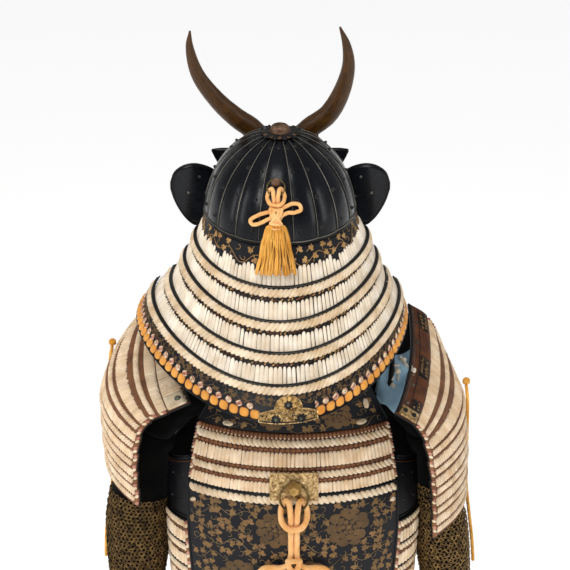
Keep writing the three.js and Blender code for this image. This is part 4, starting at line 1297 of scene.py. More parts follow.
PLATES = 18
FRONT_PLATE = rad(26)  # the back and front plates are wider than the sixteen others
OTHER_PLATE = (TAU - 2 * FRONT_PLATE) / (PLATES - 2)
TOP_LIFT = math.acos(BOWL["top_hole"] / BOWL["half_width"])
ribs = [rad(-10)]
for k in range(PLATES - 1):
    ribs.append(ribs[-1] + (FRONT_PLATE if k in (0, PLATES // 2) else OTHER_PLATE))
ribs = np.array(ribs + [ribs[0] + TAU])


def plated_bowl(turn, lift, out):
    """Bowl whose plates swell a little between their ribs."""
    turn = np.asarray(turn, float)
    t = np.mod(turn - ribs[0], TAU) + ribs[0]
    k = np.clip(np.searchsorted(ribs, t, side="right") - 1, 0, PLATES - 1)
    f = (t - ribs[k]) / (ribs[k + 1] - ribs[k])
    swell = 1.9 * (1 - np.abs(2 * f - 1) ** 3) - 1.0
    return bowl_face(turn, lift, out + swell * np.cos(np.minimum(lift, 1.2)))


RIVET_LIFTS = np.radians([9, 30, 50, 70])
RIVET_TURN = rad(4.6)  # from the rib beside them
BACK_MIDDLE = rad(3)

build = Build()
turns = np.concatenate([np.linspace(ribs[k], ribs[k + 1], 10)[:-1] for k in range(PLATES)])
shell(build, plated_bowl, turns, np.linspace(0.0, TOP_LIFT, 25), 0.2, -3, LACQUER, ringed=True)
up = turned_face(plated_bowl)
for k in range(PLATES):
    bead(build, up, 0.02, 1.38, ribs[k], 2.4, 2.1, RIM, steps=30, base=-0.4)
    bead(build, up, 0.02, 1.38, ribs[k] - 0.004, 1.1, 2.8, RIB, steps=30, base=-0.4)
    away = 1 if np.mod(ribs[k] - BACK_MIDDLE + math.pi, TAU) - math.pi > 0 else -1
    rivet_turn = ribs[k] + away * RIVET_TURN
    strip = Strip(up, 0, 1.4, rivet_turn)
    s = np.interp(RIVET_LIFTS, strip.a, strip.run)
    studs(build, strip, s, rivet_turn, 4.3, 0.6, RIB, tone=0.5)
    studs(build, strip, s, rivet_turn, 3.0, 3.6, IRON, tone=0.6, template=STRAND)
strip = Strip(up, 0, 1.4, BACK_MIDDLE)
studs(build, strip, np.interp(rad(70), strip.a, strip.run), BACK_MIDDLE, 2.9, 3.4, IRON,
      template=DOME)
bead(build, plated_bowl, 0, TAU, 0.012, 3.4, 2.6, RIM, steps=180)
bead(build, plated_bowl, 0, TAU, 0.034, 1.3, 2.6, RIB, steps=180)
build.make("dressed_helmet_bowl", ["helmet_bowl"])

FINIAL_R = [21, 27, 27.2, 23, 19, 14.6, 14.2, 13.6, 11.4, 8, 4, 0.4]
FINIAL_Z = [0.4, 0.2, 1.6, 2.8, 3.8, 4.6, 7.6, 10.4, 12.8, 14.3, 14.9, 15.1]
FINIAL_SEAT = 0.985 * BOWL["height"] * math.sqrt(1 - (21 / BOWL["half_width"]) ** 2) + 3.3


def finial_face(turn, run, out):
    """Turned finial: run goes up its profile, petals stand round its foot."""
    at = np.linspace(0, 1, len(FINIAL_R))
    petal = np.interp(run, [0, 0.08, 0.16, 0.3, 0.42, 1], [0, 1, 1, 0.7, 0, 0])
    r = np.interp(run, at, FINIAL_R) + out - 1.3 * petal * np.abs(np.sin(turn * 8)) ** 3
    z = np.interp(run, at, FINIAL_Z) + 0.9 * petal * np.abs(np.cos(turn * 8))
    return tilted(r * np.sin(turn), r * np.cos(turn), z + FINIAL_SEAT)


def iron_petal(build, turn):
    """Thin pointed petal at the finial's foot, with a raised line down its middle."""
    petal = []
    for far, up, half in ((0.42, 0.2, 5.0), (0.3, 2.6, 4.6), (0.2, 4.6, 3.0), (0.14, 6.4, 0.3)):
        for across in (-1, 0, 1):
            petal.append(finial_face(turn + across * half / 24, far, up + (across == 0)))
    petal = np.array(petal)
    quads = np.array([[r * 3 + c, r * 3 + c + 1, r * 3 + c + 4, r * 3 + c + 3]
                      for r in range(3) for c in range(2)])
    for lift in (0.0, -0.9):
        moved = petal + lift * (petal.mean(0) - finial_face(turn, 0.3, -8)) / 12
        flip = np.cross(moved[1] - moved[0], moved[4] - moved[0]).dot(
            moved[4] - finial_face(turn, 1.0, 0)) > 0
        way = 1 if flip == (lift == 0) else -1
        build.add(moved, quads[:, ::way], 0.9, None, IRON)


build = Build()
shell(build, finial_face, np.arange(72) * TAU / 72, np.linspace(0, 1, 45), 0, -1.5, BRONZE,
      ringed=True)
for k in range(12):
    iron_petal(build, (k + 0.5) * TAU / 12)
strip = Strip(finial_face, 0, TAU, 0.4)
domes(build, strip, np.arange(12) * strip.length / 12, 0.36, 2.4, 3.0, 0, 2.0, IRON)
build.make("dressed_helmet_finial", ["helmet_finial"])

HORNS = dict(  # x, y, z and thickness up each horn, from the helmet's centre
    left=[
        [33, -122, 79, 34], [46.9, -110, 97, 33], [68.5, -99, 116, 31], [97.4, -90, 146.3, 27],
        [126.3, -78, 191, 21], [137.3, -66, 238, 12], [136, -60, 262.7, 3],
    ],
    right=[
        [-33, -122, 79, 34], [-48.1, -110, 97, 33], [-74.3, -98, 121, 31],
        [-93.9, -88, 158.1, 27], [-104.5, -75, 204.4, 20], [-100.9, -66, 239.5, 13],
        [-90.6, -60, 268.9, 3],
    ],
)
for side, rows in HORNS.items():
    rows = np.array(rows, float)
    path = smooth_path(rows[:, :3] + HELMET, 2.2)
    nearest = [np.argmin(np.linalg.norm(path - p - HELMET, axis=1)) for p in rows[:, :3]]
    widths = [dict(rank=n, thick=t) for n, t in zip(nearest, rows[:, 3])]
    thick = column(widths, "thick", "rank", np.arange(len(path)))

    def ridges(run, turn):
        return 1 + 0.006 * np.cos(run / 2.6 + 2 * np.sin(run / 17 + turn)) * (1 - run / run.max())

    build = Build()
    tube(build, path, thick / 2, 32, 1.0, HORN, ridges)
    build.make(f"dressed_horn_{side}", [f"helmet_horn_{side}"])

EAR = dict(root_x=104, root_y=-97, wall=3, lean=-9)
CREST_Y = -148
VISOR = dict(half_turn=rad(58), reach=44, gap=1.2, drop=22, wall=2.5)
EAR_OUTLINE = table(
    "reach z_low z_high",
    (0, -24, 30), (12, -48, 37), (28, -57, 42), (42, -47, 41), (54, -30, 35), (62, -13, 26),
    (66.5, 2, 12),
)
CREST_OUTLINE = table(
    "x z_low z_high",
    (0, 18, 32), (40, 16, 38), (74, 14, 49), (90, 19, 50), (99, 28, 49.5), (108, 46, 48),
)


def ear_face(sx):
    """Side plate of the helmet: u from its root to its tip, v up, out to the front."""

    def face(u, v, out):
        reach = np.asarray(u, float) * EAR_OUTLINE[-1]["reach"]
        low = column(EAR_OUTLINE, "z_low", "reach", reach)
        high = column(EAR_OUTLINE, "z_high", "reach", reach)
        bow = EAR["lean"] * np.sin(np.asarray(u) * math.pi * 0.7)
        return stack(sx * (EAR["root_x"] + reach), EAR["root_y"] - bow + out,
                     lerp(low, high, v)) + HELMET

    return face


def crest_face(u, v, out):
    """Plate at the brow: u from -1 to 1 across, v up, out to the front."""
    x = np.asarray(u, float) * CREST_OUTLINE[-1]["x"]
    low = column(CREST_OUTLINE, "z_low", "x", np.abs(x))
    high = column(CREST_OUTLINE, "z_high", "x", np.abs(x))
    return stack(x, CREST_Y - out, lerp(low, high, v)) + HELMET


def visor_face(turn, v, out):
    """Peak over the brow: turn from the front centre, v out from the bowl."""
    fade = np.cos(turn / VISOR["half_turn"] * math.pi / 2 * 0.86)
    reach = VISOR["gap"] + v * VISOR["reach"] * fade
    y = -(BOWL["half_length"] + reach) * np.cos(turn)
    z = BOWL["half_length"] * np.cos(turn) * math.tan(rad(BOWL["tilt_deg"])) - 3
    z = z - VISOR["drop"] * v * v * fade + out
    return stack((BOWL["half_width"] + reach) * np.sin(turn), y, z) + HELMET


def round_edge(build, face, steps, middle, radius, mat, u0=0.0, u1=1.0):
    """Rolled rim round a plate's outline: along its bottom, up its end and back."""
    u = np.linspace(u0, u1, steps)
    edge_u = np.concatenate([u, np.full(6, u1), u[::-1]])
    edge_v = np.concatenate([0 * u, np.linspace(0.1, 0.9, 6), 0 * u + 1])
    edge_tube(build, face, edge_u, edge_v, middle, radius, mat)


for side, sx in SIDES:
    build = Build()
    face = ear_face(sx)
    shell(build, face, np.linspace(0, 1, 40), np.linspace(0, 1, 16), 0, -EAR["wall"],
          LACQUER)
    round_edge(build, face, 44, -1.5, 2.1, RIM)
    strip = Strip(face, 0, 1, 0.5)
    studs(build, strip, [14, 26, 44], [0.2, 0.8, 0.5], 2.6, 1.4, STUD)
    build.make(f"dressed_ear_{side}", [f"helmet_ear_{side}"])

build = Build()
shell(build, crest_face, np.linspace(-1, 1, 90), np.linspace(0, 1, 8), 2, 0, LACQUER)
round_edge(build, crest_face, 80, 1.0, 1.3, RIM, -1.0, 1.0)
strip = Strip(crest_face, -0.9, 0.9, 0.5)
studs(build, strip, np.linspace(0.1, 0.9, 7) * strip.length, 0.5, 3, 3.2, GILT)
build.make("dressed_crest", ["helmet_crest"])

build = Build()
half = VISOR["half_turn"]
shell(build, visor_face, np.linspace(-half, half, 70), np.linspace(0, 1, 12), 0, -VISOR["wall"],
      LACQUER)
bead(build, visor_face, -rad(57), rad(57), 0.985, 4.5, 2.2, RIM, base=-1.2)
bead(build, visor_face, -rad(56), rad(56), 0.8, 1.2, 1.0, RIB)
strip = Strip(visor_face, -rad(50), rad(50), 0.35)
studs(build, strip, np.linspace(0.08, 0.92, 5) * strip.length, 0.35, 3, 2, STUD)
build.make("dressed_visor", ["helmet_visor"])

# ------------------------------------------------------------------ neck guard

LACED_END = rad(102.5)  # where the lacing stops, just before the end of a lame
EDGE_TURN = rad(103.2)
ORNAMENT_DEG = -3.6
ORNAMENT_BAY_DEG = 11.3  # half of what the knots and tabs leave free for the ornament
ORNAMENT_MIDDLE, ORNAMENT_HALF = rad(ORNAMENT_DEG), rad(12.2)


def scale_specks(build, face, a0, a1, c, pitch):
    """Row of uneven worn specks, one finish or another, under the rope of a lame."""
    strip = Strip(face, a0, a1, c)
    n = int(strip.length / pitch)
    s = (np.arange(n) + rng.uniform(0.2, 0.8, n)) * pitch
    domes(build, strip, s, c + 0.01 + rng.normal(0, 0.012, n), 2.6, 1.2,
          rng.uniform(0.2, 1.3, n), 0.9, rng.choice([PRINT_TAN, TAN_LEATHER, DARK], n))


def dress_top_lame(build, face, a0, a1):
    """Printed leather over a row of lacing."""
    printed(build, face, a0, a1, 0.02, 0.5, 30, leaf=13, line=PRINT_TAN, leaf_mat=PRINT_TAN,
            flowers=False, dense=0.8)
    laces(build, face, a0, a1, 0.5, 1.0, 6.8, 2.4, WHITE, ragged=0.11, gap=0.1)


def dress_laced_lame(build, face, a0, a1):
    """Rope, specks of worn scales and a row of lacing."""
    rope(build, face, a0, a1, 0.195, 7.4, 18.5, 7.8, 4.0, 44, ROPE, base=0.4)
    scale_specks(build, face, a0, a1, 0.37, 5.2)
    laces(build, face, a0, a1, 0.44, 1.0, 6.8, 2.5, WHITE, ragged=0.035, gap=0.1)


def dress_last_lame(build, face, a0, a1):
    """Rope, print, then knots and orange tabs on both sides of the ornament."""
    rope(build, face, a0, a1, 0.165, 7.4, 18.5, 7.8, 4.0, 44, ROPE, base=0.4)
    printed(build, face, a0, a1, 0.3, 0.56, 14, leaf=9, leaf_mat=PRINT_FILL, flowers=False)
    bay = rad(ORNAMENT_DEG - ORNAMENT_BAY_DEG), rad(ORNAMENT_DEG + ORNAMENT_BAY_DEG)
    for from_turn, to_turn in ((a0, bay[0]), (bay[1], a1)):
        crossed(build, face, from_turn, to_turn, 0.625, 16.6, 12.5, 2.4)
        pillows(build, face, from_turn, to_turn, 0.815, 16.6, 14.0, 13.0, 4.0)
    bead(build, face, a0, a1, 0.955, 4.6, 2.6, RIM, steps=160)


LAMES = len(NECK) - 1
for row in range(LAMES):
    build = Build()
    face = neck_face(row)
    last = row == LAMES - 1
    shell(build, face, np.linspace(-NECK_END, NECK_END, 150), np.linspace(0, 1, 12), -0.4,
          -NECK_WALL, LEATHER if row == 0 or last else STRAP, STRAP)
    if row == 0:
        dress_top_lame(build, face, -LACED_END, LACED_END)
    else:
        bead(build, face, -LACED_END, LACED_END, 0.028, 3.0, 2.0, RIM, base=0.1, steps=140)
        bead(build, face, -LACED_END, LACED_END, 0.02, 0.8, 2.3, RIB, base=0.1, steps=140)
        dress = dress_last_lame if last else dress_laced_lame
        dress(build, face, -LACED_END, LACED_END)
    for end in (-EDGE_TURN, EDGE_TURN):
        bead(build, turned_face(face), 0.02, 0.99, end, 4.5, 2.2, RIM, steps=40)
    build.make(f"dressed_neck_lame_{row + 1}",
               [f"neck_lame_{row + 1}"])

# Openwork plate: a fluted fan over a plate with sloping shoulders, with dark flower rivets.
build = Build()
last_lame = neck_face(LAMES - 1)
ROUND_MM = 204  # millimetres to a radian of turn here
DOWN_MM = 58.4  # and to the height of the lame
FAN_TOP, FAN_RADIUS = 0.61, 20


def plate_outline(u, v, out):
    """Plate that widens from its shoulders: u from -1 to 1 across, v down the lame."""
    wide = np.interp(v, [0, 0.12, 0.25, 0.45, 1], [0.34, 0.62, 0.8, 1.0, 0.98])
    turn = ORNAMENT_MIDDLE + ORNAMENT_HALF * np.asarray(u) * wide
    return last_lame(turn, lerp(0.615, 0.985, v), out)


def fan_outline(u, v, out):
    """Half disc: u runs round it from -1 to 1, v from its hub to its rim."""
    angle, r = np.asarray(u, float) * math.pi / 2, FAN_RADIUS * np.asarray(v, float)
    flutes = 1.5 * np.abs(np.sin(angle * 6)) * np.clip(v * 2 - 0.5, 0, 1)
    return last_lame(ORNAMENT_MIDDLE + r * np.sin(angle) / ROUND_MM,
                     FAN_TOP - r * np.cos(angle) / DOWN_MM, out + flutes)


def rosette(strip, s, size, mat, heart):
    """Flower rivet: a scalloped disc of eight petals round a raised heart."""
    unit = strip.per_c(strip.at(s))
    turn = np.arange(8) * TAU / 8 + 0.3
    studs(build, strip, s, strip.c, size * 0.8, 2.2, mat, base=1.9, template=STRAND)
    domes(build, strip, s + size * 0.62 * np.cos(turn), strip.c + size * 0.62 * np.sin(turn) / unit,
          size * 0.36, size * 0.26, turn, 2.8, mat, base=1.9)
    studs(build, strip, s, strip.c, size * 0.36, 4.4, heart, base=1.9, template=STRAND)


shell(build, plate_outline, np.linspace(-1, 1, 49), np.linspace(0, 1, 24), 1.9, 0.4, GILT_OPEN,
      tone=0.75)
shell(build, fan_outline, np.linspace(-1, 1, 50), np.linspace(0.02, 1, 10), 2.2, 0.4, GILT_OPEN)
edge_tube(build, fan_outline, np.linspace(-1, 1, 50), np.full(50, 1.0), 2.0, 0.9, GILT)
bead(build, plate_outline, -0.98, 0.98, 0.98, 2.0, 1.8, GILT, base=1.7, steps=50)
for u in (-0.985, 0.985):
    edge_tube(build, plate_outline, np.full(30, u), np.linspace(0, 1, 30), 2.0, 0.9, GILT)
for v in (0.3, 0.52, 0.75):
    strip = Strip(plate_outline, -1, 1, v)
    wide = strip.length
    for k, s in enumerate(np.linspace(0.07, 0.93, 11)):
        scroll(build, strip, s * wide, 4.4, rng.uniform(0, TAU), GILT, 1.1, 1 if k % 2 else -1, 2.8,
               1.6)
    domes(build, strip, rng.uniform(0.04, 0.96, 22) * wide, v + rng.normal(0, 0.08, 22), 2.0, 1.2,
          rng.uniform(0, TAU, 22), 0.7, STRAP, base=1.9)
    t = np.linspace(0.03, 0.97, 60)
    ribbon(build, strip, t * wide, 2.2 * np.sin(t * 26 + 9 * v), 1.1, GILT, 2.7, foot=1.6)
for u, v, size, mats in ((-0.42, 0.7, 7.6, (IRON, STUD)), (0.42, 0.7, 7.6, (IRON, STUD)),
                         (0.0, 0.6, 6.4, (GILT, GILT_OPEN))):
    strip = Strip(plate_outline, -1, 1, v)
    rosette(strip, (u + 1) / 2 * strip.length, size, *mats)
strip = Strip(last_lame, ORNAMENT_MIDDLE - ORNAMENT_HALF, ORNAMENT_MIDDLE + ORNAMENT_HALF,
              FAN_TOP - 0.3 * FAN_RADIUS / DOWN_MM)
rosette(strip, strip.length / 2, 7.4, IRON, STUD)
build.make("dressed_neck_ornament", ["neck_ornament"])

# ------------------------------------------------------------------ rings on the helmet and back


def hung_ring(name, node, centre, post, radius, wire, lean_deg, body):
    """Ring that hangs on a post of that radius and leans out at its foot."""
    lean = rad(lean_deg)
    middle = np.array(centre) + [
        0, radius * math.sin(lean), post + 0.4 + wire - radius * math.cos(lean)]
    build = Build()
    ring_of(build, middle, radius, wire * 1.15, [1, 0, 0],
            [0, -math.sin(lean), math.cos(lean)], WIRE, corners=14, steps=96)
    return build.make(name, [node], body)


def turned_y(build, centre, profile, mat, corners):
    """Solid turned about +Y from (radius, distance out) pairs."""
    turns = np.arange(corners) * TAU / corners
    r, y = np.array(profile, float).T
    points = np.stack([
        centre[0] + np.outer(np.sin(turns), r), centre[1] + np.outer(0 * turns + 1, y),
        centre[2] + np.outer(np.cos(turns), r)], -1)
    inside = np.stack([0 * y + centre[0], y + centre[1], 0 * y + centre[2]], 1)
    middle = np.tile((inside[:-1] + inside[1:]) / 2, (corners, 1))
    faces = outward(points, grid_faces(corners, len(r), wrap=True), middle)
    build.add(points, faces, 1.0, None, mat)


build = Build()
turned_y(build, HELMET + [HELM_X, 104.5, 79.5],
         [(0.01, 0), (2.2, 0), (2.2, 9), (6.3, 9.1), (6.9, 9.8), (6.6, 10.8), (5.2, 11.6),
          (3, 12.1), (0.01, 12.2)], BRONZE, 40)
build.make("dressed_helmet_ring_post", ["helmet_ring_post"])

hung_ring("dressed_helmet_ring", "helmet_ring", HELMET + [HELM_X, 109.3, 79.5], 2.2, 13, 0.9, 34,
          "helmet_bow")
hung_ring("dressed_back_ring", "back_ring", [BACK_X, 147.4, -172], 4, 22, 1.5, 11, "back_bow")


BACK_PLATE = dict(half_width=37, half_height=23.5, y=144.2, z=-172)


def plate_face(u, v, out):
    """Gilt plate on the back: u from -1 to 1 across, v down from its top edge."""
    u, v = np.asarray(u, float), np.asarray(v, float)
    half_width, half_height = BACK_PLATE["half_width"], BACK_PLATE["half_height"]
    x = BACK_X + half_width * u
    z = BACK_PLATE["z"] + half_height * (1 - 2 * v)
    low = 0.35 * np.sin(x / 3.1) * np.cos(z / 2.7) + 0.25 * np.sin(x / 1.7 + z / 2.3)
    edge = np.minimum(
        np.minimum(1 + u, 1 - u) * half_width, np.minimum(v, 1 - v) * 2 * half_height)
    return stack(x, BACK_PLATE["y"] + out + low * np.clip(edge / 4 - 0.4, 0, 1), z)


build = Build()
shell(build, plate_face, np.linspace(-1, 1, 64), np.linspace(0, 1, 40), 0.2, -2, GILT)
for v in (0.16, 0.38, 0.62, 0.86):
    strip = Strip(plate_face, -1, 1, v)
    for k, s in enumerate(np.linspace(0.08, 0.92, 9)):
        scroll(build, strip, s * strip.length, 4.2, rng.uniform(0, TAU), GILT_OPEN, 1.1,
               1 if k % 2 else -1, 0.9, -0.1)
for v in (0.02, 0.98):
    edge_tube(build, plate_face, np.linspace(-0.98, 0.98, 40), np.full(40, v), 0, 1.1, GILT)
for u in (-0.98, 0.98):
    edge_tube(build, plate_face, np.full(30, u), np.linspace(0.02, 0.98, 30), 0, 1.1, GILT)
PLATE_FLOWERS = (  # u, v and size in millimetres
    (-0.62, 0.3, 11), (0.62, 0.3, 11), (-0.6, 0.74, 10), (0.6, 0.74, 10), (-0.3, 0.12, 7),
    (0.3, 0.12, 7), (-0.28, 0.9, 7), (0.28, 0.9, 7), (0, 0.1, 6), (-0.86, 0.52, 7),
    (0.86, 0.52, 7),
)
for u, v, size in PLATE_FLOWERS:
    strip = Strip(plate_face, -1, 1, v)
    s = (u + 1) / 2 * strip.length
    turn = np.arange(6) * TAU / 6 + rng.uniform(0, 1)
    unit = strip.per_c(0)
    domes(build, strip, s + 0.3 * size * np.cos(turn), v + 0.3 * size * np.sin(turn) / unit,
          0.2 * size, 0.14 * size, turn, 1.0, GILT)
    studs(build, strip, s, v, 0.13 * size, 1.4, GILT)


def six_sided(y, radius):
    """Corners of the post's section at a distance out."""
    turns = np.arange(6) * TAU / 6
    return stack(BACK_X + radius * np.sin(turns), y, BACK_PLATE["z"] + radius * np.cos(turns))


# The post and its six-sided head, cut back in flat facets: y and radius at both ends, height of
# the tip.
for y0, r0, y1, r1, rise, tone in ((143.7, 4, 151.8, 4, 0, 0.8), (151.6, 13, 162.6, 7, 1.6, 1.0)):
    one, two = six_sided(y0, r0), six_sided(y1, r1)
    middle = np.array([BACK_X, y1 + rise, BACK_PLATE["z"]])
    for k in range(6):
        quad = np.array([one[k], one[(k + 1) % 6], two[(k + 1) % 6], two[k]])
        out = quad.mean(0) - [BACK_X, quad.mean(0)[1], BACK_PLATE["z"]]
        turn = np.cross(quad[1] - quad[0], quad[2] - quad[0]).dot(out) > 0
        build.add(quad, [[0, 1, 2, 3][:: 1 if turn else -1]], tone, None, BOSS)
    for k in range(6):
        fan = np.array([two[k], two[(k + 1) % 6], middle])
        turn = np.cross(fan[1] - fan[0], fan[2] - fan[0])[1] > 0
        build.add(fan, [[0, 1, 2][:: 1 if turn else -1]], tone, None, BOSS)
build.make("dressed_back_ring_plate", ["back_ring_plate"])

# ------------------------------------------------------------------ cuirass

EDGE_BRAID = (PINK, CREAM, BROWN)


def saw_tooth(build, face, a0, a1, c, pitch, tall, tip=TAN_LEATHER):
    """Row of small pointed scale heads with a worn line at their tips."""
    strip = Strip(face, a0, a1, c)
    n = max(2, int(round(strip.length / pitch)))
    s = (np.arange(n) + 0.5) * strip.length / n
    domes(build, strip, s, c, pitch * 0.46, tall * 0.5, 0, 1.0, BROWN, square=1.6, template=TOOTH)
    unit = strip.per_c(strip.at(s))
    domes(build, strip, s, c + tall * 0.2 / unit, pitch * 0.3, tall * 0.16, 0, 1.4, tip,
          template=TOOTH)


PANEL_DRESS_END = 0.965
# Rows of a laced lame from the top, with their heights and sizes: teeth, rope, teeth, lacing.
LACED_ROWS = dict(
    lame_1=dict(
        teeth=dict(z=-93.5, pitch=6.4, tall=11, tip=ROPE),
        rope=dict(z=-104.5, length=17, width=7.6, thick=3.4),
        low_teeth=dict(z=-115.3, tall=8), laces=dict(z=-118.5, thick=2.8),
    ),
    lame_2=dict(
        teeth=dict(z=-146, pitch=8.3, tall=8, tip=TAN_LEATHER),
        rope=dict(z=-156, length=15.5, width=7.4, thick=3.2),
        low_teeth=dict(z=-165.6, tall=7), laces=dict(z=-168.5, thick=2.7),
    ),
)


def dress_panel_lame(build, face, at, rows, z_low):
    """Teeth, rope, teeth and lacing down one laced lame."""
    ends = (-PANEL_DRESS_END, PANEL_DRESS_END)
    teeth, cord, low_teeth, lacing = (rows[k] for k in ("teeth", "rope", "low_teeth", "laces"))
    saw_tooth(build, face, *ends, at(teeth["z"]), teeth["pitch"], teeth["tall"], teeth["tip"])
    rope(build, face, *ends, at(cord["z"]), 7.6, cord["length"], cord["width"], cord["thick"],
         -48, ROPE, base=0.3)
    saw_tooth(build, face, *ends, at(low_teeth["z"]), 8.3, low_teeth["tall"])
    laces(build, face, *ends, at(lacing["z"]), at(z_low), 6.4, lacing["thick"], PANEL_LACE,
          ragged=0.02)


def dress_panel_top(build, face):
    """Printed top with its rim, and the ends of three white ties."""
    printed(build, face, -0.96, 0.96, 0.06, 0.98, 58, leaf=14)
    bead(build, face, -0.985, 0.985, 0.015, 4.5, 2.4, RIM)
    for u, v, slant in ((-0.83, 0.45, 70), (-0.68, 0.86, 8), (0.64, 0.88, -6)):
        strip = Strip(face, -0.98, 0.98, v)
        s = np.interp(u, strip.a, strip.run)
        for more, mat, share in ((0, ROPE, 1.0), (1.4, CREAM, 0.7)):
            domes(build, strip, s, v, 9 * share, 4.2 * share, rad(slant), 3.6 + more, mat,
                  square=2.6, template=DOME)


def dress_panel_lower(build, face, at):
    """Printed lower plate between two rims, with a rope and two knots at its top."""
    strip = Strip(face, -0.98, 0.98, at(-219))
    domes(build, strip, [9, strip.length - 9], at(-219), 5, 3.4, 0.3, 4.4, ROPE, template=DOME)
    bead(build, face, -0.99, 0.99, at(-188.2), 5.6, 2.4, RIM)
    rope(build, face, -PANEL_DRESS_END, PANEL_DRESS_END, at(-198), 9.2, 18, 9.2, 3.6, -48, ROPE,
         base=0.4)
    printed(build, face, -0.97, 0.97, at(-206), at(-384), 70, leaf=14.5)
    bead(build, face, -0.97, 0.97, at(-386), 3.6, 2.0, RIM)


for panel in ("back", "front"):
    for row in PANEL_ROWS:
        name = row["row"]
        z_top, z_low = row["z"]
        face = panel_face(panel, row)
        build = Build()
        leathery = name in ("top", "lower")
        shell(build, face, np.linspace(-1, 1, 90), np.linspace(0, 1, 30 if leathery else 14), -0.3,
              -PANEL_WALL, LEATHER if leathery else TAN_LEATHER, STRAP,
              tone=1.0 if leathery else 0.75)

        def at(z):
            return (z - z_top) / (z_low - z_top)

        if name == "top":
            dress_panel_top(build, face)
        elif name == "lower":
            dress_panel_lower(build, face, at)
        else:
            dress_panel_lame(build, face, at, LACED_ROWS[name], z_low)
        down = turned_face(face)
        for end in (-1, 1):
            if not leathery:
                rope(build, down, 0.03, 0.97, end * 0.972, 5.4, 7.5, 4.8, 3.0, 42 * end,
                     EDGE_BRAID, base=0.2)
            bead(build, down, 0.01, 0.995, end * 0.992, 3.4, 1.8, RIM, steps=40)
        build.make(f"dressed_{panel}_{name}",
                   [f"{panel}_{name}"])

for side, sx in SIDES:
    build = Build()
    face = side_face(sx, SIDE_PLATE["z_top"], SIDE_PLATE["z_bottom"] + 0.4, SIDE_PLATE["scoop"],
                     SIDE_PLATE["inset"])
    # Painted shade: the plate's leather is darkened to 0.55 of its colour for the shade under the
    # arm.
    shell(build, face, np.linspace(0, 1, 60), np.linspace(0, 1, 20), 0, -PANEL_WALL, LEATHER, STRAP,
          tone=0.55)
    bead(build, face, 0.01, 0.99, 0.025, 5.5, 3.2, RIM, base=0.2)
    bead(build, face, 0.01, 0.99, 0.09, 1.4, 1.2, TAN_LEATHER)
    bead(build, face, 0.01, 0.99, 0.97, 4.0, 2.0, RIM)
    strip = Strip(face, 0.06, 0.94, 0.5)
    for v in (0.3, 0.72):
        studs(build, strip, np.linspace(0.03, 0.97, 6) * strip.length, v, 2.6, 1.7, IRON)
    build.make(f"dressed_side_plate_{side}", [f"side_plate_{side}"])

    build = Build()
    face = side_face(sx, SIDE_PLATE["z_bottom"], FLAP["z_top"], 0, -1)
    shell(build, face, np.linspace(0, 1, 60), np.linspace(0, 1, 24), -0.6, -4, STRAP)
    for k in range(3):
        v0, v1 = k / 3, (k + 1) / 3
        bead(build, face, 0.01, 0.99, lerp(v0, v1, 0.05), 3.6, 2.0, RIM)
        rope(build, face, 0.03, 0.97, lerp(v0, v1, 0.25), 7.6, 15, 7.2, 3.0, -48 * sx, ROPE,
             base=0.2)
        saw_tooth(build, face, 0.03, 0.97, lerp(v0, v1, 0.46), 8.3, 6)
        # Painted shade: these laces take the darker cream panel lace in place of white, for the
        # shade under the arm.
        laces(build, face, 0.03, 0.97, lerp(v0, v1, 0.54), v1, 8.3, 2.4, PANEL_LACE)
    for u in (0.012, 0.988):
        rope(build, turned_face(face), 0.02, 0.98, u, 6.2, 11, 6, 2.8, 42, EDGE_BRAID)
    build.make(f"dressed_side_lames_{side}", [f"side_lames_{side}"])

STRAP_ROUTE = [
    [0, 95, -19.5], [0, 84, -3], [0, 45, 10], [0, 0, 6], [0, -50, 2], [0, -84, -12], [0, -96, -30],
]
strap_path = smooth_path(STRAP_ROUTE, 3.0)


def strap_face(sx):
    """Surface of a shoulder strap: u from -1 to 1 across, v from the back to the front, out."""
    tangent = normed(np.gradient(strap_path, axis=0))
    at = np.linspace(0, 1, len(strap_path))

    def face(u, v, out):
        y, z = np.interp(v, at, strap_path[:, 1]), np.interp(v, at, strap_path[:, 2])
        ty, tz = np.interp(v, at, tangent[:, 1]), np.interp(v, at, tangent[:, 2])
        return stack(sx * (90 + np.asarray(u) * 23), y + tz * out, z - ty * out)

    return face


for side, sx in SIDES:
    build = Build()
    face = strap_face(sx)
    shell(build, face, np.linspace(-1, 1, 16), np.linspace(0, 1, 80), 5, 0, STRAP)
    for u in (-0.96, 0.96):
        edge_tube(build, face, np.full(60, u), np.linspace(0.01, 0.99, 60), 4.2, 1.8, RIM)
    down = turned_face(face)
    for u in (-0.78, 0.78):
        strip = Strip(down, 0.03, 0.97, u)
        domes(build, strip, np.arange(3, strip.length - 3, 5.2), u, 1.9, 0.6, 0, 0.7, CREAM, base=5)
    build.make(f"dressed_shoulder_strap_{side}", [f"shoulder_strap_{side}"])

# ------------------------------------------------------------------ skirt

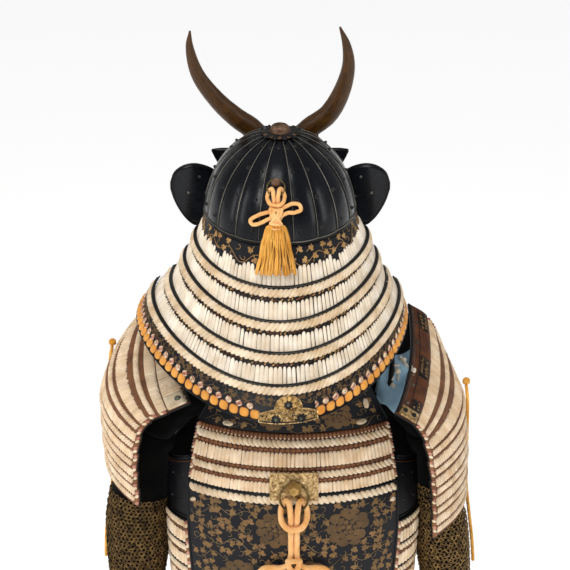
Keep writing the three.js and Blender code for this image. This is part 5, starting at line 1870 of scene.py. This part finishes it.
for flap in range(FLAPS):
    build = Build()
    plain = flap_face(flap)
    lames = FLAP["lames"]

    def face(u, v, out):
        """The flap with its overlapping lames: each stands out towards its lower edge."""
        v = np.asarray(v, float)
        f = np.clip(v * lames - np.floor(np.minimum(v * lames, lames - 1e-6)), 0, 1)
        return plain(u, v, out + FLAP["step"] * f)

    vs = np.sort(np.concatenate([
        [(k + f) / lames for f in (0.002, 0.2, 0.4, 0.6, 0.8, 0.985)] for k in range(lames)]))
    vs[0], vs[-1] = 0, 1 - 1e-6
    shell(build, face, np.linspace(-1, 1, 24), vs, -0.4, -FLAP["wall"], STRAP)
    for k in range(lames):
        def at(f):
            return (k + f) / lames

        bead(build, face, -0.97, 0.97, at(0.07), 4.2, 2.0, RIM, steps=40)
        rope(build, face, -0.92, 0.92, at(0.24), 8.4, 17, 8, 3.2, -48, ROPE, base=0.2,
             template=SMALL_DOME)
        if k < lames - 1:
            saw_tooth(build, face, -0.92, 0.92, at(0.41), 8.4, 7)
            laces(build, face, -0.92, 0.92, at(0.48), at(0.985), 8.4, 2.6, WHITE)
        else:
            printed(build, face, -0.9, 0.9, at(0.38), at(0.6), 12, leaf=8.5, flowers=False)
            crossed(build, face, -0.92, 0.92, at(0.67), 15, 9, 1.6)
            pillows(build, face, -0.92, 0.92, at(0.82), 15, 12.5, 8.5, 2.8)
            bead(build, face, -0.98, 0.98, at(0.955), 4.6, 2.6, RIM, steps=40)
    down = turned_face(face)
    for end in (-1, 1):
        rope(build, down, 0.03, 0.955, end * 0.955, 6.6, 12, 6.4, 2.8, 42 * end, EDGE_BRAID,
             template=SMALL_DOME)
    build.make(f"dressed_skirt_flap_{flap + 1}", [f"skirt_flap_{flap + 1}"])

# ------------------------------------------------------------------ shoulder guards

def laced_crown(build, face, crown):
    """Crown plate that lacing covers up to its edge, with a pale tip and one stud."""
    laces(build, face, 0.02, 0.96, 4, crown - 2, 5.8, 2.2, PANEL_LACE, gap=0.13)
    shell(build, face, np.linspace(0.006, 0.12, 12), np.linspace(5, crown - 3, 6), 2.9, 0.1,
          CREAM)
    studs(build, Strip(face, 0.01, 0.3, 15), 16, 15, 5.6, 4.2, STUD, base=2.7, template=DOME)


def printed_crown(build, face, crown):
    """Bare leather with printed patches, a scrolled gilt tip and round studs."""
    for w0, w1 in ((0.1, 0.2), (0.42, 0.6), (0.84, 0.97)):
        shell(build, face, np.linspace(w0, w1, 16), np.linspace(19, crown - 3, 5), 0.5, 0.1,
              LEATHER)
        printed(build, lambda a, c, out: face(a, c, out + 0.5), w0, w1, 19, crown - 3, 14, leaf=7,
                leaf_mat=PRINT_TAN, flowers=False, dense=1.3)
    tip = (0.006, 0.09)
    shell(build, face, np.linspace(*tip, 12), np.linspace(5, crown - 3, 6), 2.9, 0.1, GILT)
    for c in (10, 18, 27):
        strip = Strip(face, *tip, c)
        for k in range(3):
            scroll(build, strip, (k + 0.5) * strip.length / 3, 3.4, rng.uniform(0, TAU), GILT_OPEN,
                   1.1, 1, 3.6, 2.6)
    for c in (12, 27):
        studs(build, Strip(face, 0.01, 0.3, c), 12, c, 4.2, 4.2, IRON, base=2.7, template=DOME)
    strip = Strip(face, 0.02, 0.98, 20)
    for s in (0.12, 0.3, 0.7, 0.88):
        studs(build, strip, s * strip.length, 11.5, 3.2, 2.6, STUD)


for side, sx in SIDES:
    guard, length = sode_face(side, sx)
    crown = SODE["crown"]
    build = Build()

    def strip_face(w, down, out):
        return guard(w, down, np.asarray(out, float) + 1.5)

    shell(build, strip_face, np.linspace(0, 1, 60), np.linspace(0, crown - 0.4, 10), 0, -4,
          TAN_LEATHER, STRAP)
    bead(build, strip_face, 0.005, 0.995, 1.5, 2.6, 2.4, RIM, base=0.2)
    bead(build, strip_face, 0.01, 0.99, 17, 1.1, 1.0, RIM)
    bead(build, strip_face, 0.01, 0.99, 6.2, 0.9, 1.2, RIB)
    dress = laced_crown if side == "left" else printed_crown
    dress(build, strip_face, crown)
    build.make(f"dressed_sode_crown_{side}", [f"shoulder_guard_crown_{side}"])

    build = Build()
    lames = SODE["lames"]
    pitch = (length - crown) / lames

    def face(w, down, out):
        """The guard with its overlapping lames, each standing out towards its lower edge."""
        down = np.asarray(down, float)
        k = (down - crown) / pitch
        f = np.clip(k - np.floor(np.clip(k, 0, lames - 1e-6)), 0, 1)
        return guard(w, down, np.asarray(out, float) + SODE["step"] * f)

    downs = np.sort(np.concatenate([
        [crown + (k + f) * pitch for f in (0.002, 0.2, 0.4, 0.6, 0.8, 0.985)]
        for k in range(lames)]))
    shell(build, face, np.linspace(0, 1, 50), downs, -0.4, -SODE["wall"], BROWN, STRAP, tone=0.8)
    for k in range(lames):
        def at(f):
            return crown + (k + f) * pitch

        laces(build, face, 0.03, 0.975, at(0.0 if k else -0.02), at(0.43), 5.8, 2.6, PANEL_LACE,
              gap=0.13)
        saw_tooth(build, face, 0.03, 0.975, at(0.49), 5.8, 4.4)
        rope(build, face, 0.03, 0.975, at(0.7), 5.8, 12, 5.6, 3.0, 50 * sx, PANEL_LACE, base=0.3,
             template=SMALL_DOME)
        saw_tooth(build, face, 0.03, 0.975, at(0.91), 5.8, 4.6)
    down = turned_face(face)
    for end in (0.012, 0.988):
        rope(build, down, crown + 2, length - 3, end, 5.6, 8.5, 5.2, 3.2, 42, EDGE_BRAID, base=0.4,
             template=SMALL_DOME)
    build.make(f"dressed_sode_lames_{side}", [f"shoulder_guard_lames_{side}"])

# ------------------------------------------------------------------ sleeves

SLEEVE_TURNS = np.arange(64) * TAU / 64
TIES = (  # turn, rank and slant of the white ties on the right shoulder
    (0.02, 0.9, 0.3), (0.62, 0.78, -0.5), (1.16, 0.72, 0.4), (1.5, 0.66, 1.1), (0.35, 1.15, 0.8),
)
MAIL_STEP = 7.1
MAIL_RING = dict(corners=6, radius=3.5, wire=0.95, lean=0.32)


def creased_sleeve(face):
    """The sleeve's surface with a few soft folds across its shoulder cloth."""

    def creased(turn, rank, out):
        fold = 1.2 * np.sin(5 * turn + 3 * rank) * np.sin(rank * 3.4 + 0.6 * np.sin(turn)) \
            + 0.7 * np.sin(9 * turn - 2 * rank)
        return face(turn, rank, out + fold * np.clip(np.minimum(rank, 2.97 - rank) * 4, 0, 1))

    return creased


def backing_of(face):
    """The sleeve's surface under the mail, which hangs fuller on its inner side: a dark sheet that
    fills the gap to the body, partly as painted shade.
    """

    def backing(turn, rank, out):
        fullness_and_shade_fill = np.clip(-np.cos(turn), 0, 1) ** 2 * np.clip((rank - 2.97) * 4, 0, 1) * np.clip(
            (7.2 - rank) / 0.8, 0, 1)
        return face(turn, rank, out + 10 * fullness_and_shade_fill)

    return backing


def declare_sheet(across, down):
    """Measures two lines over the cloth, across and down it; nothing is done with their lengths."""
    path_length(across) * MM
    path_length(down) * MM


def sleeve_shoulder(side, face, creased):
    """Cloth part of a sleeve, from the neck to the mail, in dark cloth that is partly painted
    shade.
    """
    build = Build()
    shell(build, creased, SLEEVE_TURNS, np.linspace(0, SLEEVE_SPLIT - 0.012, 26), -0.6,
          -SLEEVE_WALL, DARK_CLOTH_AND_SHADE, ringed=True)
    cloth_piece = build.make(f"dressed_sleeve_shoulder_{side}",
                             [f"sleeve_shoulder_{side}"])
    loop = face(np.linspace(0, TAU, 80), 1.5, 0.0)
    line = face(0.0, np.linspace(0, SLEEVE_SPLIT, 40), 0.0)
    declare_sheet(loop, line)


def shoulder_patch(creased):
    """Blue cloth at the neck of the right sleeve, laid only on its lit upper part; the dark cloth
    round it is partly painted shade.
    """
    build = Build()
    shell(build, creased, np.linspace(-1.2, 1.9, 40), np.linspace(0.2, 1.35, 14), 0.5, -0.4, BLUE)
    build.make("dressed_shoulder_patch")


def shoulder_ties(creased):
    """Black strap over the patch, and white ties: two crossed bumps with a loose end each way."""
    build = Build()
    bead(build, creased, -0.6, 1.35, 0.62, 8, 3.4, STRAP, base=0.9, steps=30)
    for turn, rank, slant in TIES:
        strip = Strip(creased, turn - 0.4, turn + 0.4, rank)
        for angle, thick in ((slant, 7.0), (slant + 1.5, 8.2)):
            domes(build, strip, strip.length / 2, rank, 6.0, 4.0, angle, thick, WHITE)
        for end in (-1, 1):
            domes(build, strip, strip.length / 2 + end * 10, rank + 0.05 * end, 7.5, 2.0,
                  slant + 0.7 * end, 4.4, WHITE)
    build.make("dressed_shoulder_ties")


def shoulder_web(creased):
    """Cloth between the top edge of the right guard and the shoulder, blue and then black; the
    black part is painted shade on the cloth.
    """
    build = Build()
    guard, _ = sode_face("right", -1)

    def web(u, v, out):
        u, v = np.asarray(u, float), np.asarray(v, float)
        high = guard(lerp(0.02, 0.96, u), 4.0 + 0 * u, -5.0)
        low = creased(lerp(1.45, -1.4, u), 0.12 + 0 * u, -1.0)
        sag = 9 * np.sin(math.pi * v) + 1.5 * np.sin(9 * u) * np.sin(math.pi * v)
        lean = np.stack([0.5 * np.ones_like(out), 0 * out, 0.85 * np.ones_like(out)], -1)
        return lerp(high, low, v[..., None]) + lean * (out - sag)[..., None]

    us, vs = np.linspace(0, 1, 30), np.linspace(0, 1, 12)
    # Painted shade: past the lit upper part the web takes the dark cloth in place of blue.
    for from_u, to_u, mat in ((0, 0.66, BLUE), (0.655, 1, DARK_CLOTH_AND_SHADE)):
        shell(build, web, np.linspace(from_u, to_u, 20), vs, 0.6, -0.6, mat)
    piece = build.make("dressed_shoulder_web")
    declare_sheet(web(us, 0 * us + 0.5, 0 * us), web(0 * vs + 0.5, vs, 0 * vs))


def ring_places(backing, ranks, line, top_z):
    """Turn and rank of each mail ring: rows a step apart, every other one shifted by half."""
    run = run_along(line)
    top_rank = np.interp(-top_z, -line[:, 2], ranks)
    turns, in_rows = [], []
    around = np.linspace(0, TAU, 200)
    for k in range(int(run[-1] / MAIL_STEP)):
        rank = np.interp((k + 0.5) * MAIL_STEP, run, ranks)
        if rank < top_rank:
            continue
        arc = run_along(backing(around, rank, 0.0))
        n = int(round(arc[-1] / MAIL_STEP))
        at = (np.arange(n) + (0.5 if k % 2 else 0)) / n * arc[-1]
        turns.append(np.interp(at, arc, around))
        in_rows.append(np.full(n, rank))
    return np.concatenate(turns), np.concatenate(in_rows)


def mail(build, backing, turns, ranks):
    """Rings with open undersides that lie on the backing, tipped one way and the other by turns."""
    count = len(turns)
    here = backing(turns, ranks, 0.0)
    one = normed(backing(turns + 0.02, ranks, 0.0) - here)
    two = backing(turns, ranks + 0.02, 0.0) - here
    two -= one * (one * two).sum(1)[:, None]
    two = normed(two)
    normal = np.cross(one, two)
    away = here - backing(turns, ranks, -2.0)
    normal *= np.sign((normal * away).sum(1))[:, None]
    tip = MAIL_RING["lean"]
    lean = rng.normal(0, 0.1, count) + np.where(np.arange(count) % 2, tip, -tip)
    flat_two = two * np.cos(lean)[:, None] + normal * np.sin(lean)[:, None]
    flat_normal = np.cross(one, flat_two)
    corners, wire = MAIL_RING["corners"], MAIL_RING["wire"]
    ring = np.arange(corners) * TAU / corners
    radial = (np.cos(ring)[None, :, None] * one[:, None] + np.sin(ring)[None, :, None]
              * flat_two[:, None])
    reach = MAIL_RING["radius"] + wire * np.array([-1, 0, 1])
    height = wire * np.array([0, 1, 0])
    points = (
        here[:, None, None] + normal[:, None, None] * 0.1
        + radial[:, :, None] * reach[None, None, :, None]
        + flat_normal[:, None, None] * height[None, None, :, None]
    )
    quads = grid_faces(corners, 3, wrap=True)
    corner = points[0].reshape(-1, 3)
    cross = np.cross(corner[quads[0, 1]] - corner[quads[0, 0]],
                     corner[quads[0, 2]] - corner[quads[0, 0]])
    if cross.dot(flat_normal[0]) < 0:
        quads = quads[:, ::-1]
    per = corners * 3
    faces = (quads[None] + (np.arange(count) * per)[:, None, None]).reshape(-1, 4)
    tone = np.repeat(rng.uniform(0.7, 1.1, count), per)
    build.add(points.reshape(-1, 3), faces, tone, None, RING)


def sleeve_mail(side, face):
    """Mail part of a sleeve: dark cloth with rings from where they show down to the cuff."""
    build = Build()
    backing = backing_of(face)
    last = len(SLEEVES[side]) - 1
    shell(build, backing, SLEEVE_TURNS, np.linspace(SLEEVE_SPLIT, last, 50), -1.6, -SLEEVE_WALL,
          DARK_CLOTH_AND_SHADE, BACKING, ringed=True)
    ranks = np.linspace(SLEEVE_SPLIT, last, 300)
    places = ring_places(backing, ranks, face(0.0, ranks, 0.0), MAIL_TOP[side])
    mail(build, backing, *places)
    build.make(f"dressed_sleeve_mail_{side}", [f"sleeve_mail_{side}"])


for side, sx in SIDES:
    face = sleeve_face(side, sx)
    creased = creased_sleeve(face)
    sleeve_shoulder(side, face, creased)
    if side == "right":
        shoulder_patch(creased)
        shoulder_ties(creased)
        shoulder_web(creased)
    sleeve_mail(side, face)

# ------------------------------------------------------------------ floor and light


FLOOR_REACH = 60  # metres each way


def floor():
    """White ground that gives off a little light."""
    mesh = bpy.data.meshes.new("floor")
    corners = [(x * FLOOR_REACH, y * FLOOR_REACH, FLOOR_Z)
               for x, y in ((-1, -1), (1, -1), (1, 1), (-1, 1))]
    mesh.from_pydata(corners, [], [(0, 1, 2, 3)])
    sheet = bpy.data.objects.new("floor", mesh)
    bpy.context.scene.collection.objects.link(sheet)
    n = Nodes("floor")
    shade = n.mix(n.noise(n.place(), 0.8, 2), colour("FFFFFF"), colour("FBFBFA"))
    n.done(shade, None, 0.9, emission_color=(1, 1, 1, 1), emission_strength=0.62)
    mesh.materials.append(n.material)


def world_light(strength):
    world = bpy.data.worlds.new("studio")
    world.use_nodes = True
    back = world.node_tree.nodes["Background"]
    back.inputs["Color"].default_value = (1, 1, 1, 1)
    back.inputs["Strength"].default_value = strength
    bpy.context.scene.world = world


LIGHTS = (
    dict(name="key", place=(0.7, 2.5, 2.2), size=(1.5, 1.1), power=53),
    dict(name="over", place=(0.3, 1.0, 3.0), size=(1.2, 0.8), power=22),
    dict(name="side_left", place=(2.6, 0.8, 0.9), size=(0.6, 1.8), power=14),
    dict(name="side_right", place=(-2.6, 0.8, 0.9), size=(0.6, 1.8), power=14),
    dict(name="low", place=(0, 3.0, -0.5), size=(2.4, 0.8), power=7),
)
floor()
world_light(0.3)
for light in LIGHTS:
    area_light(**light)
bpy.context.scene.view_settings.view_transform = "Standard"

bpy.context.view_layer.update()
